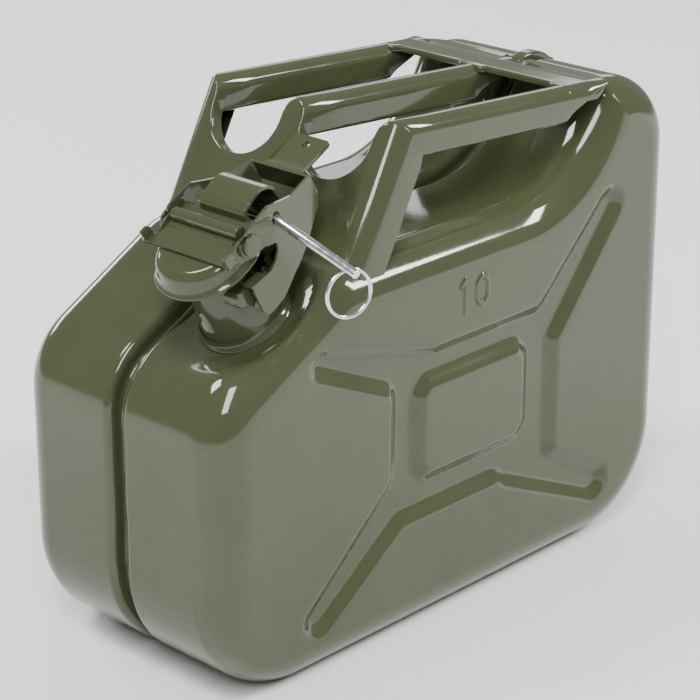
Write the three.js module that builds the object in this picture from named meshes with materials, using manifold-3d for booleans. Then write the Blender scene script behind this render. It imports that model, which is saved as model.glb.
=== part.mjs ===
// A ten litre pressed-steel fuel can with a three-bar handle and a cam-lever closure.
// Millimetres, +Z up. The spout end faces -X, the rear +X, and the broad sides face -Y and +Y.
import * as THREE from "three";
import { mergeVertices } from "three/addons/utils/BufferGeometryUtils.js";
import Module from "manifold-3d";

const wasm = await Module();
wasm.setup();

// ---- Driving dimensions -------------------------------------------------------------------

const LENGTH = 345; // body, front face to rear face
const WIDTH = 148; // body, over the two broad sides
const WALL = 1.1;
const GAP = 0.3; // between pieces that touch
const HUMP_TOP = 261; // top of the air chamber at the rear
const SADDLE_TOP = 210; // flat top under the handle
const SHOULDER_DEG = 29; // rise of the front shoulder towards the handle
const EDGE_RADIUS = 21; // where the broad sides turn into the ends
const FRONT_FOOT_RADIUS = 57;
const REAR_FOOT_RADIUS = 60;
const REAR_TOP_RADIUS = 40;
const FRONT_TOP_RADIUS = 43;
const SHOULDER_Z = 136.7; // height of the front top arc's centre
const CREST_RADIUS = 30; // where the shoulder turns into the flat top
const SADDLE_X = 48; // where the flat top starts to rise to the hump
const SADDLE_RADIUS = 73; // concave rise from under the handle to the hump
const HUMP_EDGE_RADIUS = 9;
const PRESSING_DEPTH = 3;

const GROOVE_HALF = 5; // half the width of the groove round the middle
const GROOVE_DEPTH = 9;

const BAR_PITCH = 62.5; // spacing of the three handle bars
const BAR_WIDTH = 15;
const BAR_HEIGHT = 19;
const HANDLE_TOP = 274.5;
const BAR_FALL = 0.062; // the bars drop this much per millimetre to the rear
const PLATE = 1.8; // sheet thickness of the handle
const PLATE_ROLL = 11; // bend radius of the front plate's two sides
const PLATE_FLANGE = 24; // how far the front plate's sides are turned back
const PLATE_LIP = 8; // how far its scalloped edge is turned back
const SCALLOP_R = 23.6;
const REAR_PLATE_X = 88; // front edge of the plate behind the finger gaps
const PLATE_FOOT_X = -79; // front face of the handle's front plate where it meets the body
const PLATE_TOP_X = -44.5;

const NECK_TILT = 30; // the neck leans forward by this much
const NECK = { x: -115.2, y: -32.2, z: 186.6 }; // middle of the neck's foot
const NECK_FOOT_R = 22.3;
const NECK_R = 17.2;
const NECK_HEIGHT = 44;
const CAP_R = 24.2;
const CAP_RIM_R = 28.3;
const CAP_TOP = 52;
const CAP_BOTTOM = 40.2;

const LEVER_PIVOT = { u: 5.8, w: 51.6 }; // in the neck's own frame: u to the rear, w along the neck
const CAP_HINGE = { u: 33.5, w: 38.8 };
const PIN_HOLE = { u: 25.4, w: 50.4 };
const CHEEK = 1.4; // lever sheet
const CHEEK_HALF = 27.6; // half width over the lever's cheeks beside the pivot
const CHEEK_BEND = 16; // behind this the cheeks close in towards the tab
const CHEEK_TAPER = 0.22; // how much the half width falls per millimetre behind the bend

const PIN_R = 2.4;
const PIN_LENGTH = 62;
const PIN_INSIDE = 6; // how far the pin's tip is past the near cheek
const PIN_DROOP = 16; // degrees the loose pin hangs below level
const RING_R = 11.6;
const RING_WIRE_R = 0.85;
const RING_TURN = 15; // degrees the ring stands askew in the pin's cross hole

const deg = THREE.MathUtils.degToRad;

// ---- Solids and meshes --------------------------------------------------------------------

// A closed geometry as a manifold solid.
function solid(geometry) {
  const bare = geometry.index ? geometry.toNonIndexed() : geometry.clone();
  bare.deleteAttribute("normal");
  bare.deleteAttribute("uv");
  const merged = mergeVertices(bare, 1e-4);
  return new wasm.Manifold(
    new wasm.Mesh({
      numProp: 3,
      vertProperties: new Float32Array(merged.attributes.position.array),
      triVerts: new Uint32Array(merged.index.array),
    }),
  );
}

// A manifold solid as a three.js geometry.
function geometryOf(shape) {
  const mesh = shape.getMesh();
  const geometry = new THREE.BufferGeometry();
  const xyz = new Float32Array(mesh.numVert * 3);
  for (let i = 0; i < mesh.numVert; i++) {
    const at = i * mesh.numProp;
    xyz.set(mesh.vertProperties.subarray(at, at + 3), i * 3);
  }
  geometry.setAttribute("position", new THREE.BufferAttribute(xyz, 3));
  geometry.setIndex(new THREE.BufferAttribute(mesh.triVerts, 1));
  const faceted = geometry.toNonIndexed();
  faceted.computeVertexNormals();
  return faceted;
}

function finish(color, roughness, metalness) {
  return new THREE.MeshStandardMaterial({ color, roughness, metalness });
}

const ENAMEL = { color: "#565b42", roughness: 0.22, metalness: 0 };
const ZINC = { color: "#c9ccd2", roughness: 0.18, metalness: 1 };
const RUBBER = { color: "#1c1c1a", roughness: 0.7, metalness: 0 };

function piece(name, shape, look) {
  const geometry = shape.isBufferGeometry ? shape : geometryOf(shape);
  const mesh = new THREE.Mesh(
    geometry,
    finish(look.color, look.roughness, look.metalness),
  );
  mesh.name = name;
  return mesh;
}

// A solid from a side outline of [x, z] points, as wide as y0 to y1.
function slab(outline, y0, y1) {
  const shape = new THREE.Shape(outline.map(([x, z]) => new THREE.Vector2(x, z)));
  const geometry = new THREE.ExtrudeGeometry(shape, {
    depth: y1 - y0,
    bevelEnabled: false,
  });
  geometry.rotateX(Math.PI / 2);
  geometry.translate(0, y1, 0);
  return solid(geometry);
}

function boxBetween(low, high) {
  const size = high.map((v, i) => v - low[i]);
  const geometry = new THREE.BoxGeometry(...size);
  geometry.translate(...low.map((v, i) => v + size[i] / 2));
  return solid(geometry);
}

// A round bar along Y.
function crossRod(u, w, radius, y0, y1, sides = 20) {
  const geometry = new THREE.CylinderGeometry(radius, radius, y1 - y0, sides);
  geometry.translate(u, (y0 + y1) / 2, w);
  return solid(geometry);
}

// A solid of revolution about Z from [radius, height] points that close on themselves.
function turned(profile, sides = 40) {
  const points = [...profile, profile[0]].map(([r, h]) => new THREE.Vector2(r, h));
  const geometry = new THREE.LatheGeometry(points, sides);
  geometry.rotateX(Math.PI / 2);
  const made = solid(geometry);
  if (made.volume() > 0) return made;
  const turnedRound = points.slice().reverse();
  const other = new THREE.LatheGeometry(turnedRound, sides);
  other.rotateX(Math.PI / 2);
  return solid(other);
}

// Points along an arc in a side outline, angles in degrees.
function arc(cx, cz, radius, from, to, steps) {
  const points = [];
  for (let i = 0; i <= steps; i++) {
    const a = deg(from + ((to - from) * i) / steps);
    points.push([cx + radius * Math.cos(a), cz + radius * Math.sin(a)]);
  }
  return points;
}

// ---- Body ---------------------------------------------------------------------------------

// The body's side outline set in by d, anticlockwise seen from -Y with +X to the right.
function bodyOutline(d = 0) {
  const half = LENGTH / 2;
  const slope = deg(SHOULDER_DEG);
  const lean = 90 + SHOULDER_DEG;
  const shoulderX = -half + FRONT_TOP_RADIUS;
  const slopeEndX = shoulderX + FRONT_TOP_RADIUS * Math.cos(deg(lean));
  const slopeEndZ = SHOULDER_Z + FRONT_TOP_RADIUS * Math.sin(deg(lean));
  const cornerX = slopeEndX + (SADDLE_TOP - slopeEndZ) / Math.tan(slope);
  const crestX = cornerX + CREST_RADIUS * Math.tan(slope / 2);
  const edge = Math.max(HUMP_EDGE_RADIUS - d, 0.8);
  const edgeZ = HUMP_TOP - d - edge;
  const saddleZ = SADDLE_TOP + SADDLE_RADIUS;
  const reach = SADDLE_RADIUS + d + edge;
  const edgeX = SADDLE_X + Math.sqrt(reach ** 2 - (saddleZ - edgeZ) ** 2);
  const rise = THREE.MathUtils.radToDeg(Math.atan2(edgeX - SADDLE_X, saddleZ - edgeZ));
  const foot = FRONT_FOOT_RADIUS;
  const heel = REAR_FOOT_RADIUS;
  const back = REAR_TOP_RADIUS;
  return [
    ...arc(-half + foot, foot, foot - d, 180, 270, 8),
    ...arc(half - heel, heel, heel - d, 270, 360, 8),
    ...arc(half - back, HUMP_TOP - back, back - d, 0, 90, 7),
    ...arc(edgeX, edgeZ, edge, 90, 90 + rise, 4),
    ...arc(SADDLE_X, saddleZ, SADDLE_RADIUS + d, 269 + rise, 270, 8),
    ...arc(crestX, SADDLE_TOP - CREST_RADIUS, CREST_RADIUS - d, 90, lean, 3),
    ...arc(shoulderX, SHOULDER_Z, FRONT_TOP_RADIUS - d, lean, 180, 6),
  ];
}

// A closed loft through rings of [inset, y], with flat ends.
function loft(rings) {
  const outlines = rings.map(([d]) => bodyOutline(d));
  const n = outlines[0].length;
  const xyz = [];
  rings.forEach(([, y], r) => {
    outlines[r].forEach(([x, z]) => xyz.push(x, y, z));
  });
  const index = [];
  for (let r = 0; r + 1 < rings.length; r++) {
    for (let i = 0; i < n; i++) {
      const a = r * n + i;
      const b = r * n + ((i + 1) % n);
      index.push(a, b, b + n, a, b + n, a + n);
    }
  }
  const ends = [outlines[0], outlines.at(-1)].map((outline) => {
    const contour = outline.map(([x, z]) => new THREE.Vector2(x, z));
    return THREE.ShapeUtils.triangulateShape(contour, []);
  });
  const base = (rings.length - 1) * n;
  ends[0].forEach(([a, b, c]) => index.push(a, c, b));
  ends[1].forEach(([a, b, c]) => index.push(base + a, base + b, base + c));
  const geometry = new THREE.BufferGeometry();
  geometry.setAttribute("position", new THREE.Float32BufferAttribute(xyz, 3));
  geometry.setIndex(index);
  return geometry;
}

// Turns a loft built towards +Y into the half on the given side.
function onSide(geometry, side) {
  const at = geometry.attributes.position;
  for (let i = 0; i < at.count; i++) at.setY(i, at.getY(i) * side);
  const order = geometry.index.array;
  if (side > 0) {
    for (let i = 0; i < order.length; i += 3) {
      [order[i + 1], order[i + 2]] = [order[i + 2], order[i + 1]];
    }
  }
  return solid(geometry);
}

// One half's skin as rings, set in by the wall thickness t for its inside.
function skinRings(t) {
  const half = WIDTH / 2;
  const seam = GAP / 2;
  const rings = [
    [GROOVE_DEPTH + t, t > 0 ? -4 : seam],
    [GROOVE_DEPTH + t, 2.4 + t],
    [2.5 + t, GROOVE_HALF - 0.6 + t],
    [0.7 + t, GROOVE_HALF + 0.6 + t],
    [t, GROOVE_HALF + 2.6 + t],
  ];
  for (const a of [0, 22, 44, 66, 90]) {
    const in1 = (EDGE_RADIUS - t) * (1 - Math.cos(deg(a)));
    const y = half - EDGE_RADIUS + (EDGE_RADIUS - t) * Math.sin(deg(a));
    rings.push([t + in1, y]);
  }
  return rings;
}

// The stiffening pressing: a frame round a middle panel with four arms to the corners.
function pressingShape(grow) {
  const g = grow;
  const outer = [
    [-51 - g, 137 + g],
    [-112 - g, 165],
    [-104, 171 + g],
    [-19, 151 + g],
    [61, 151 + g],
    [117, 205 + g],
    [127 + g, 197],
    [71 + g, 131],
    [71 + g, 66],
    [122 + g, 39],
    [114, 26 - g],
    [36, 62 - g],
    [28, 68 - g],
    [-46, 68 - g],
    [-103, 20 - g],
    [-115 - g, 31],
    [-51 - g, 89],
  ];
  const panel = [
    [-34 + g, 90],
    [-27, 83 + g],
    [45, 83 + g],
    [52 - g, 90],
    [52 - g, 131],
    [45, 138 - g],
    [-27, 138 - g],
    [-34 + g, 131],
  ];
  const shape = new THREE.Shape(outer.map(([x, z]) => new THREE.Vector2(x, z)));
  shape.holes.push(new THREE.Path(panel.map(([x, z]) => new THREE.Vector2(x, z))));
  return shape;
}

// The pressing as a block with sloping walls, to cut away from the right side.
function pressing(extra) {
  const geometry = new THREE.ExtrudeGeometry(pressingShape(extra), {
    depth: 10,
    bevelThickness: PRESSING_DEPTH,
    bevelSize: 4.5,
    bevelOffset: -2.2,
    bevelSegments: 1,
  });
  geometry.rotateX(Math.PI / 2);
  geometry.translate(0, -WIDTH / 2 + extra, 0);
  return solid(geometry);
}

// A solid built in the neck's own frame, moved to its place on the body.
function onNeck(shape) {
  const turn = new THREE.Matrix4().makeRotationY(deg(-NECK_TILT));
  turn.setPosition(NECK.x, NECK.y, NECK.z);
  return shape.transform(turn.elements);
}

// The shallow dish in the shoulder that the neck stands in.
function neckSeat(extra) {
  const dish = turned([
    [0, -extra],
    [25.4 + extra, -extra],
    [45 + extra, 12],
    [0, 12],
  ]);
  return onNeck(dish);
}

const MIRROR_Y = [1, 0, 0, 0, 0, -1, 0, 0, 0, 0, 1, 0, 0, 0, 0, 1];

// One half of the body, an open pressed shell. The right one carries the neck.
function bodyHalf(side) {
  let outside = onSide(loft(skinRings(0)), -1).subtract(pressing(0));
  let inside = onSide(loft(skinRings(WALL)), -1).subtract(pressing(WALL));
  if (side > 0) return outside.subtract(inside).transform(MIRROR_Y);
  outside = outside.subtract(neckSeat(0));
  inside = inside.subtract(neckSeat(WALL));
  const hole = new THREE.CylinderGeometry(18.5, 18.5, 30, 32);
  hole.rotateX(Math.PI / 2);
  return outside.subtract(inside).subtract(onNeck(solid(hole)));
}

// The weld that closes the two halves, run round the bottom of the groove.
function seamWeld() {
  const n = bodyOutline().length;
  const section = [
    [GROOVE_DEPTH - GAP, -1.6],
    [GROOVE_DEPTH - 1.6, -1],
    [GROOVE_DEPTH - 1.6, 1],
    [GROOVE_DEPTH - GAP, 1.6],
  ];
  const xyz = [];
  section.forEach(([d, y]) => {
    bodyOutline(d).forEach(([x, z]) => xyz.push(x, y, z));
  });
  const index = [];
  section.forEach((_, s) => {
    const t = (s + 1) % section.length;
    for (let i = 0; i < n; i++) {
      const j = (i + 1) % n;
      index.push(s * n + i, t * n + j, s * n + j);
      index.push(s * n + i, t * n + i, t * n + j);
    }
  });
  const geometry = new THREE.BufferGeometry();
  geometry.setAttribute("position", new THREE.Float32BufferAttribute(xyz, 3));
  geometry.setIndex(index);
  return solid(geometry);
}

// The body as one full block grown by the gap, to cut the pieces that stand on it.
function bodyWithGap() {
  return onSide(
    loft([
      [-GAP, -90],
      [-GAP, 90],
    ]),
    -1,
  );
}

// ---- Handle -------------------------------------------------------------------------------

const plateLean = Math.atan2(PLATE_TOP_X - PLATE_FOOT_X, HANDLE_TOP - SADDLE_TOP);
const plateHeight = Math.hypot(PLATE_TOP_X - PLATE_FOOT_X, HANDLE_TOP - SADDLE_TOP);
const crest = (x) => HANDLE_TOP - BAR_FALL * (x - PLATE_TOP_X);
const BAR_YS = [BAR_PITCH, 0, -BAR_PITCH];

// A bar's cross section, its crest at the origin: round top, flat bottom, set in by d.
function barSection(d) {
  const r = BAR_WIDTH / 2 - d;
  const corner = Math.max(3 - d, 0.8);
  const low = -BAR_HEIGHT + d;
  const shape = new THREE.Shape();
  shape.absarc(0, -BAR_WIDTH / 2, r, 0, Math.PI, false);
  shape.absarc(-r + corner, low + corner, corner, Math.PI, 1.5 * Math.PI, false);
  shape.absarc(r - corner, low + corner, corner, 1.5 * Math.PI, 2 * Math.PI, false);
  shape.closePath();
  return shape;
}

function barRod(y, d) {
  const geometry = new THREE.ExtrudeGeometry(barSection(d), {
    depth: 260,
    bevelEnabled: false,
    curveSegments: 7,
  });
  geometry.rotateX(Math.PI / 2);
  geometry.rotateZ(Math.PI / 2);
  geometry.rotateY(Math.atan(BAR_FALL));
  geometry.translate(-90, y, crest(-90));
  return solid(geometry);
}

// Stands a solid built flat in front of the plate onto the plate's lean: x to the rear.
function onPlate(shape) {
  const lean = new THREE.Matrix4().makeRotationY(plateLean);
  lean.setPosition(PLATE_FOOT_X, 0, SADDLE_TOP);
  return shape.transform(lean.elements);
}

// One bar: a closed tube from behind the front plate to the hump, its underside cut away
// in a curve where it runs out over the hump.
function handleBar(y) {
  const back = PLATE_LIP + GAP;
  const lead = boxBetween([back, -90, -20], [400, 90, 400]);
  const end = slab(
    [
      [-120, 200],
      [84.7, 249.4],
      [93, 253.4],
      [101, 257.4],
      [109, 261],
      [116, 263],
      [116, 300],
      [-120, 300],
    ],
    -90,
    90,
  );
  const under = slab(
    [
      [REAR_PLATE_X - GAP, crest(REAR_PLATE_X) - PLATE - GAP],
      [110, crest(110) - PLATE - GAP],
      [122, HUMP_TOP],
      [140, HUMP_TOP],
      [140, 300],
      [REAR_PLATE_X - GAP, 300],
    ],
    -90,
    90,
  );
  const tube = barRod(y, 0).subtract(barRod(y, 1.6));
  return tube.intersect(onPlate(lead)).intersect(end).subtract(under).subtract(bodyWithGap());
}

// The front plate's outline with fingers and scallops, set in by d, as a block to the rear.
function fingerBlock(d) {
  const half = BAR_PITCH + BAR_WIDTH / 2 - d;
  const r = BAR_WIDTH / 2 - d;
  const root = plateHeight - BAR_WIDTH / 2;
  const top = (across) => new THREE.Vector2(across, root);
  const shape = new THREE.Shape();
  shape.moveTo(-half, -10);
  shape.lineTo(half, -10);
  shape.absarc(BAR_PITCH, root, r, 0, Math.PI, false);
  shape.absarc(BAR_PITCH / 2, root - 4, SCALLOP_R + d, 0, Math.PI, true);
  shape.absarc(0, root, r, 0, Math.PI, false);
  shape.absarc(-BAR_PITCH / 2, root - 4, SCALLOP_R + d, 0, Math.PI, true);
  shape.absarc(-BAR_PITCH, root, r, 0, Math.PI, false);
  shape.closePath();
  const geometry = new THREE.ExtrudeGeometry(shape, {
    depth: 60,
    bevelEnabled: false,
    curveSegments: 10,
  });
  geometry.rotateX(Math.PI / 2);
  geometry.rotateZ(Math.PI / 2);
  return solid(geometry);
}

// The front plate's plan section, its two sides rolled back, set in by d, as a tall block.
function rolledBlock(d) {
  const half = BAR_PITCH + BAR_WIDTH / 2 - d;
  const r = PLATE_ROLL - d;
  const shape = new THREE.Shape();
  shape.moveTo(80, -half);
  shape.lineTo(80, half);
  shape.absarc(PLATE_ROLL, half - r, r, Math.PI / 2, Math.PI, false);
  shape.absarc(PLATE_ROLL, -half + r, r, Math.PI, 1.5 * Math.PI, false);
  shape.closePath();
  const geometry = new THREE.ExtrudeGeometry(shape, {
    depth: 140,
    bevelEnabled: false,
    curveSegments: 6,
  });
  geometry.translate(0, 0, -30);
  return solid(geometry);
}

// The front plate: one pressing with three fingers up to the bars and two scallops.
function handleFrontPlate() {
  const half = BAR_PITCH + BAR_WIDTH / 2;
  const outside = fingerBlock(0).intersect(rolledBlock(0));
  const inside = fingerBlock(PLATE).intersect(rolledBlock(PLATE));
  const deep = boxBetween([PLATE_FLANGE, -90, -30], [90, 90, 120]);
  const middle = boxBetween([PLATE_LIP, -half + 4, -30], [90, half - 4, 120]);
  const tops = boxBetween([PLATE_LIP, -90, plateHeight - BAR_HEIGHT - 0.6], [90, 90, 120]);
  const trimmed = outside.subtract(inside).subtract(deep).subtract(middle).subtract(tops);
  return onPlate(trimmed).subtract(bodyWithGap());
}

// The rear plate: it closes the finger gaps and laps onto the hump, its corners rounded.
function handleRearPlate() {
  const half = BAR_PITCH + BAR_WIDTH / 2;
  const lap = HUMP_TOP + GAP;
  const x1 = 128;
  const strip = slab(
    [
      [REAR_PLATE_X, crest(REAR_PLATE_X) - PLATE],
      [110, crest(110) - PLATE],
      [x1 - 6, lap],
      [x1, lap],
      [x1, lap + PLATE],
      [x1 - 5, lap + PLATE],
      [110, crest(110)],
      [REAR_PLATE_X, crest(REAR_PLATE_X)],
    ],
    -half,
    half,
  );
  const plan = new THREE.Shape();
  plan.moveTo(REAR_PLATE_X - 5, -half);
  plan.absarc(x1 - 20, -half + 20, 20, 1.5 * Math.PI, 2 * Math.PI, false);
  plan.absarc(x1 - 20, half - 20, 20, 0, Math.PI / 2, false);
  plan.lineTo(REAR_PLATE_X - 5, half);
  plan.closePath();
  const block = new THREE.ExtrudeGeometry(plan, {
    depth: 60,
    bevelEnabled: false,
    curveSegments: 8,
  });
  block.translate(0, 0, 240);
  const notch = boxBetween([111, -5.5, 240], [x1 + 5, 5.5, 290]);
  return strip.intersect(solid(block)).subtract(notch);
}

// The domed cover over the seam at the top of the hump.
function seamCover() {
  const dome = slab(
    [
      [121, 253.5],
      [154, 253.5],
      [154, 258],
      ...arc(134, 240.4, 24.2, 46, 122, 8),
    ],
    -4,
    4,
  );
  const floor = boxBetween([100, -10, 0], [170, 10, HUMP_TOP - GROOVE_DEPTH + 2.4]);
  return dome.subtract(bodyWithGap()).subtract(floor);
}

// ---- Neck ---------------------------------------------------------------------------------

const neckRadius = (w) =>
  w > 31 ? NECK_R : NECK_FOOT_R + ((NECK_R - NECK_FOOT_R) * w) / 31;

// The neck's outside grown by extra, as a full solid to cut its neighbours with.
function neckCore(extra) {
  return turned(
    [
      [0, -6],
      [NECK_FOOT_R + extra, -6],
      [NECK_FOOT_R + extra, 0],
      [NECK_R + extra, 31],
      [NECK_R + extra, NECK_HEIGHT],
      [0, NECK_HEIGHT],
    ],
    40,
  );
}

function neckTube() {
  const t = 1.6;
  return turned([
    [NECK_FOOT_R, GAP],
    [NECK_R, 31],
    [NECK_R, 36],
    [NECK_R + 2.2, 38],
    [NECK_R + 2.6, 39.6],
    [NECK_R + 1.8, NECK_HEIGHT],
    [NECK_R - 0.6, NECK_HEIGHT],
    [NECK_R - t, 39],
    [NECK_R - t, 31],
    [18.2, 4],
    [18.2, GAP],
  ]);
}

// The weld fillet round the neck's foot.
function neckFootRing() {
  return turned([
    [NECK_FOOT_R + GAP, GAP],
    [25, GAP],
    [24.6, 1.6],
    [neckRadius(4) + GAP + 0.1, 4],
  ]);
}

// A side lug that a lever claw draws down on. Its rear-lower face is the ramp.
function neckLug(side) {
  const outline = [
    [-4.2, 20.3],
    [0.4, 27.4],
    [-2.6, 30.4],
    ...arc(-8.2, 27.2, 4.6, 75, 235, 6),
  ];
  const y0 = side > 0 ? 8 : -22.6;
  const block = slab(outline, y0, y0 + 14.6);
  return block.subtract(neckCore(GAP));
}

// The bracket behind the neck that carries the cap's hinge pin.
function hingeBracket() {
  const back = boxBetween([10, -19, 20], [23.5, 19, 31]);
  let made = back;
  for (const side of [-1, 1]) {
    const y0 = side > 0 ? 17 : -19;
    const ear = slab(
      [
        [14, 20],
        [24, 20],
        [CAP_HINGE.u + 4.4, 35.5],
        ...arc(CAP_HINGE.u, CAP_HINGE.w, 5, -20, 150, 6),
        [20, 31],
        [14, 31],
      ],
      y0,
      y0 + 2,
    );
    made = made.add(ear);
  }
  made = made.subtract(neckCore(GAP));
  return made.subtract(crossRod(CAP_HINGE.u, CAP_HINGE.w, 2.3, -30, 30));
}

function hingePin() {
  const { u, w } = CAP_HINGE;
  const shaft = crossRod(u, w, 2, -20.6, 20.6);
  const heads = [-1, 1].map((s) => {
    const y0 = s > 0 ? 19.3 : -20.6;
    return crossRod(u, w, 3.2, y0, y0 + 1.3);
  });
  return shaft.add(heads[0]).add(heads[1]);
}

// A vent pipe from the neck's mouth, under the saddle, up into the air chamber.
function ventPipe() {
  const inNeck = (u, w) => {
    const t = deg(NECK_TILT);
    return new THREE.Vector3(
      NECK.x + u * Math.cos(t) - w * Math.sin(t),
      NECK.y,
      NECK.z + u * Math.sin(t) + w * Math.cos(t),
    );
  };
  const path = new THREE.CatmullRomCurve3([
    inNeck(10.2, 34),
    inNeck(10.2, 20),
    inNeck(10.2, 6),
    new THREE.Vector3(-94, NECK.y, 186),
    new THREE.Vector3(-66, NECK.y, 196),
    new THREE.Vector3(-20, NECK.y, 200),
    new THREE.Vector3(14, NECK.y, 200),
    new THREE.Vector3(48, NECK.y, 200),
    new THREE.Vector3(92, NECK.y, 212),
    new THREE.Vector3(122, NECK.y, 236),
  ]);
  const shape = new THREE.Shape().absarc(0, 0, 3.5, 0, 2 * Math.PI);
  shape.holes.push(new THREE.Path().absarc(0, 0, 2.5, 0, 2 * Math.PI));
  const geometry = new THREE.ExtrudeGeometry(shape, {
    steps: 26,
    curveSegments: 5,
    extrudePath: path,
  });
  return solid(geometry);
}

// The clip that holds the vent pipe's end in the air chamber.
function ventClip() {
  const ring = new THREE.LatheGeometry(
    [
      [3.8, -3],
      [5, -3],
      [5, 3],
      [3.8, 3],
      [3.8, -3],
    ].map(([r, h]) => new THREE.Vector2(r, h)),
    16,
  );
  ring.rotateX(Math.PI / 2);
  ring.rotateY(Math.PI / 2);
  ring.translate(14, NECK.y, 200);
  const post = boxBetween([12, NECK.y - 2, 204.6], [16, NECK.y + 2, SADDLE_TOP - WALL - GAP]);
  return solid(ring).add(post);
}

// ---- Cap and strap ------------------------------------------------------------------------

function capShell() {
  const t = 1.4;
  const corner = arc(CAP_R - 5, CAP_TOP - 5, 5, 90, 0, 5);
  return turned([
    [0, CAP_TOP],
    ...corner,
    [CAP_R, CAP_BOTTOM + 3.2],
    [CAP_RIM_R, CAP_BOTTOM + 1.4],
    [CAP_RIM_R, CAP_BOTTOM],
    [CAP_R - t, CAP_BOTTOM],
    [CAP_R - t, CAP_TOP - 5],
    [CAP_R - 5, CAP_TOP - t],
    [0, CAP_TOP - t],
  ]);
}

function capGasket() {
  return turned([
    [NECK_R - 3.4, NECK_HEIGHT + GAP],
    [CAP_R - 2.4, NECK_HEIGHT + GAP],
    [CAP_R - 2.4, CAP_TOP - 4.8],
    [CAP_R - 5.4, CAP_TOP - 1.4 - GAP],
    [NECK_R - 3.4, CAP_TOP - 1.4 - GAP],
  ]);
}

// The strap over the cap: a plate with a rolled bead, side ears, a hump and a hinge eye.
function capStrap() {
  const low = CAP_TOP + GAP;
  const high = low + 1.7;
  const plate = boxBetween([-11.6, -25.3, low], [17.5, 25.3, high]);
  const bead = crossRod(7.3, 55.6, 3.5, -21.5, 23, 18);
  const small = crossRod(1.6, high - 0.2, 1.3, -21, 22, 10);
  const hump = slab(
    [
      [14, low],
      [19, low],
      [17.9, 57.4],
      [22.4, 58.7],
      [31, 59.9],
      [36.6, 56.6],
      [37.6, 49],
      [36.1, 42],
      [38, 41.3],
      [39.4, 49],
      [38.2, 57.6],
      [31.4, 61.6],
      [21.4, 60.4],
      [16.2, 58.4],
      [15.4, 54],
    ],
    -16.6,
    13.5,
  );
  const eye = crossRod(CAP_HINGE.u, CAP_HINGE.w, 4.4, -16.5, 16.5, 18);
  let made = plate.add(bead).add(small).add(hump).add(eye);
  for (const side of [-1, 1]) {
    const y0 = side > 0 ? 24.5 : -25.8;
    const ear = slab(
      [
        [-2, 47],
        [2, 44.6],
        [10, 44.6],
        [13, 47],
        [13, high - 0.4],
        [9.6, 56.6],
        [2, 56.6],
        [-7, high - 0.4],
      ],
      y0,
      y0 + 1.3,
    );
    const wing = slab(
      [
        [-11.6, low],
        [-5.6, low],
        [-5.6, high],
        [-11.6, high],
      ],
      side > 0 ? 24.2 : -29.4,
      side > 0 ? 29.4 : -24.2,
    );
    const upturn = slab(
      [
        [-11.6, low],
        [-5.6, low],
        [-5.6, 58],
        [-7, 59.2],
        [-11.6, 59.2],
      ],
      side > 0 ? 27.9 : -29.4,
      side > 0 ? 29.4 : -27.9,
    );
    const { u, w } = LEVER_PIVOT;
    const hole = crossRod(u, w, 2.8, side > 0 ? 23.9 : -30, side > 0 ? 30 : -23.9);
    made = made.add(ear).add(wing).add(upturn).subtract(hole);
  }
  return made.subtract(crossRod(CAP_HINGE.u, CAP_HINGE.w, 2.3, -30, 30));
}

// A pivot rivet through a strap ear and a lever cheek.
function pivotRivet(side) {
  const { u, w } = LEVER_PIVOT;
  const shank = crossRod(u, w, 2.5, side > 0 ? 24.2 : -29.4, side > 0 ? 29.4 : -24.2);
  const head = crossRod(u, w, 5.4, side > 0 ? 28 : -29.4, side > 0 ? 29.4 : -28, 24);
  return shank.add(head);
}

// ---- Lever --------------------------------------------------------------------------------

// The cheek's side outline: rivet lobe, arm, spine and claw, open to the front.
function cheekOutline() {
  const { u, w } = LEVER_PIVOT;
  return [
    ...arc(u, w, 6.7, 268, 140, 6),
    [3.4, 59.2],
    [24, 59.5],
    [33.5, 53.7],
    [40.5, 49.8],
    [57.5, 46.5],
    [57.5, 42.5],
    [55.8, 34],
    [53.5, 30.5],
    [44, 26],
    [34.8, 22],
    [23.5, 19.2],
    [8, 13.4],
    [-2.6, 13],
    [-5.2, 17],
    [-4.5, 33.4],
    [9, 31.2],
    [14, 33.3],
    [17.6, 36.6],
    [19.4, 40.8],
    [13.1, 43.6],
  ];
}

// How far in from its place beside the pivot a cheek is at u.
const cheekIn = (u) => Math.max(0, u - CHEEK_BEND) * CHEEK_TAPER;

// One cheek: flat beside the pivot, then closing in towards the tab.
function cheek(side) {
  const y0 = side > 0 ? CHEEK_HALF - CHEEK : -CHEEK_HALF;
  const flat = slab(cheekOutline(), y0, y0 + CHEEK);
  const front = flat.intersect(boxBetween([-50, -50, 0], [CHEEK_BEND, 50, 90]));
  const rear = flat.intersect(boxBetween([CHEEK_BEND - 0.01, -50, 0], [90, 50, 90]));
  const lean = new THREE.Matrix4();
  lean.set(1, 0, 0, 0, -side * CHEEK_TAPER, 1, 0, 0, 0, 0, 1, 0, 0, 0, 0, 1);
  lean.premultiply(
    new THREE.Matrix4().makeTranslation(0, side * CHEEK_TAPER * CHEEK_BEND, 0),
  );
  return front.add(rear.transform(lean.elements));
}

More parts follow.
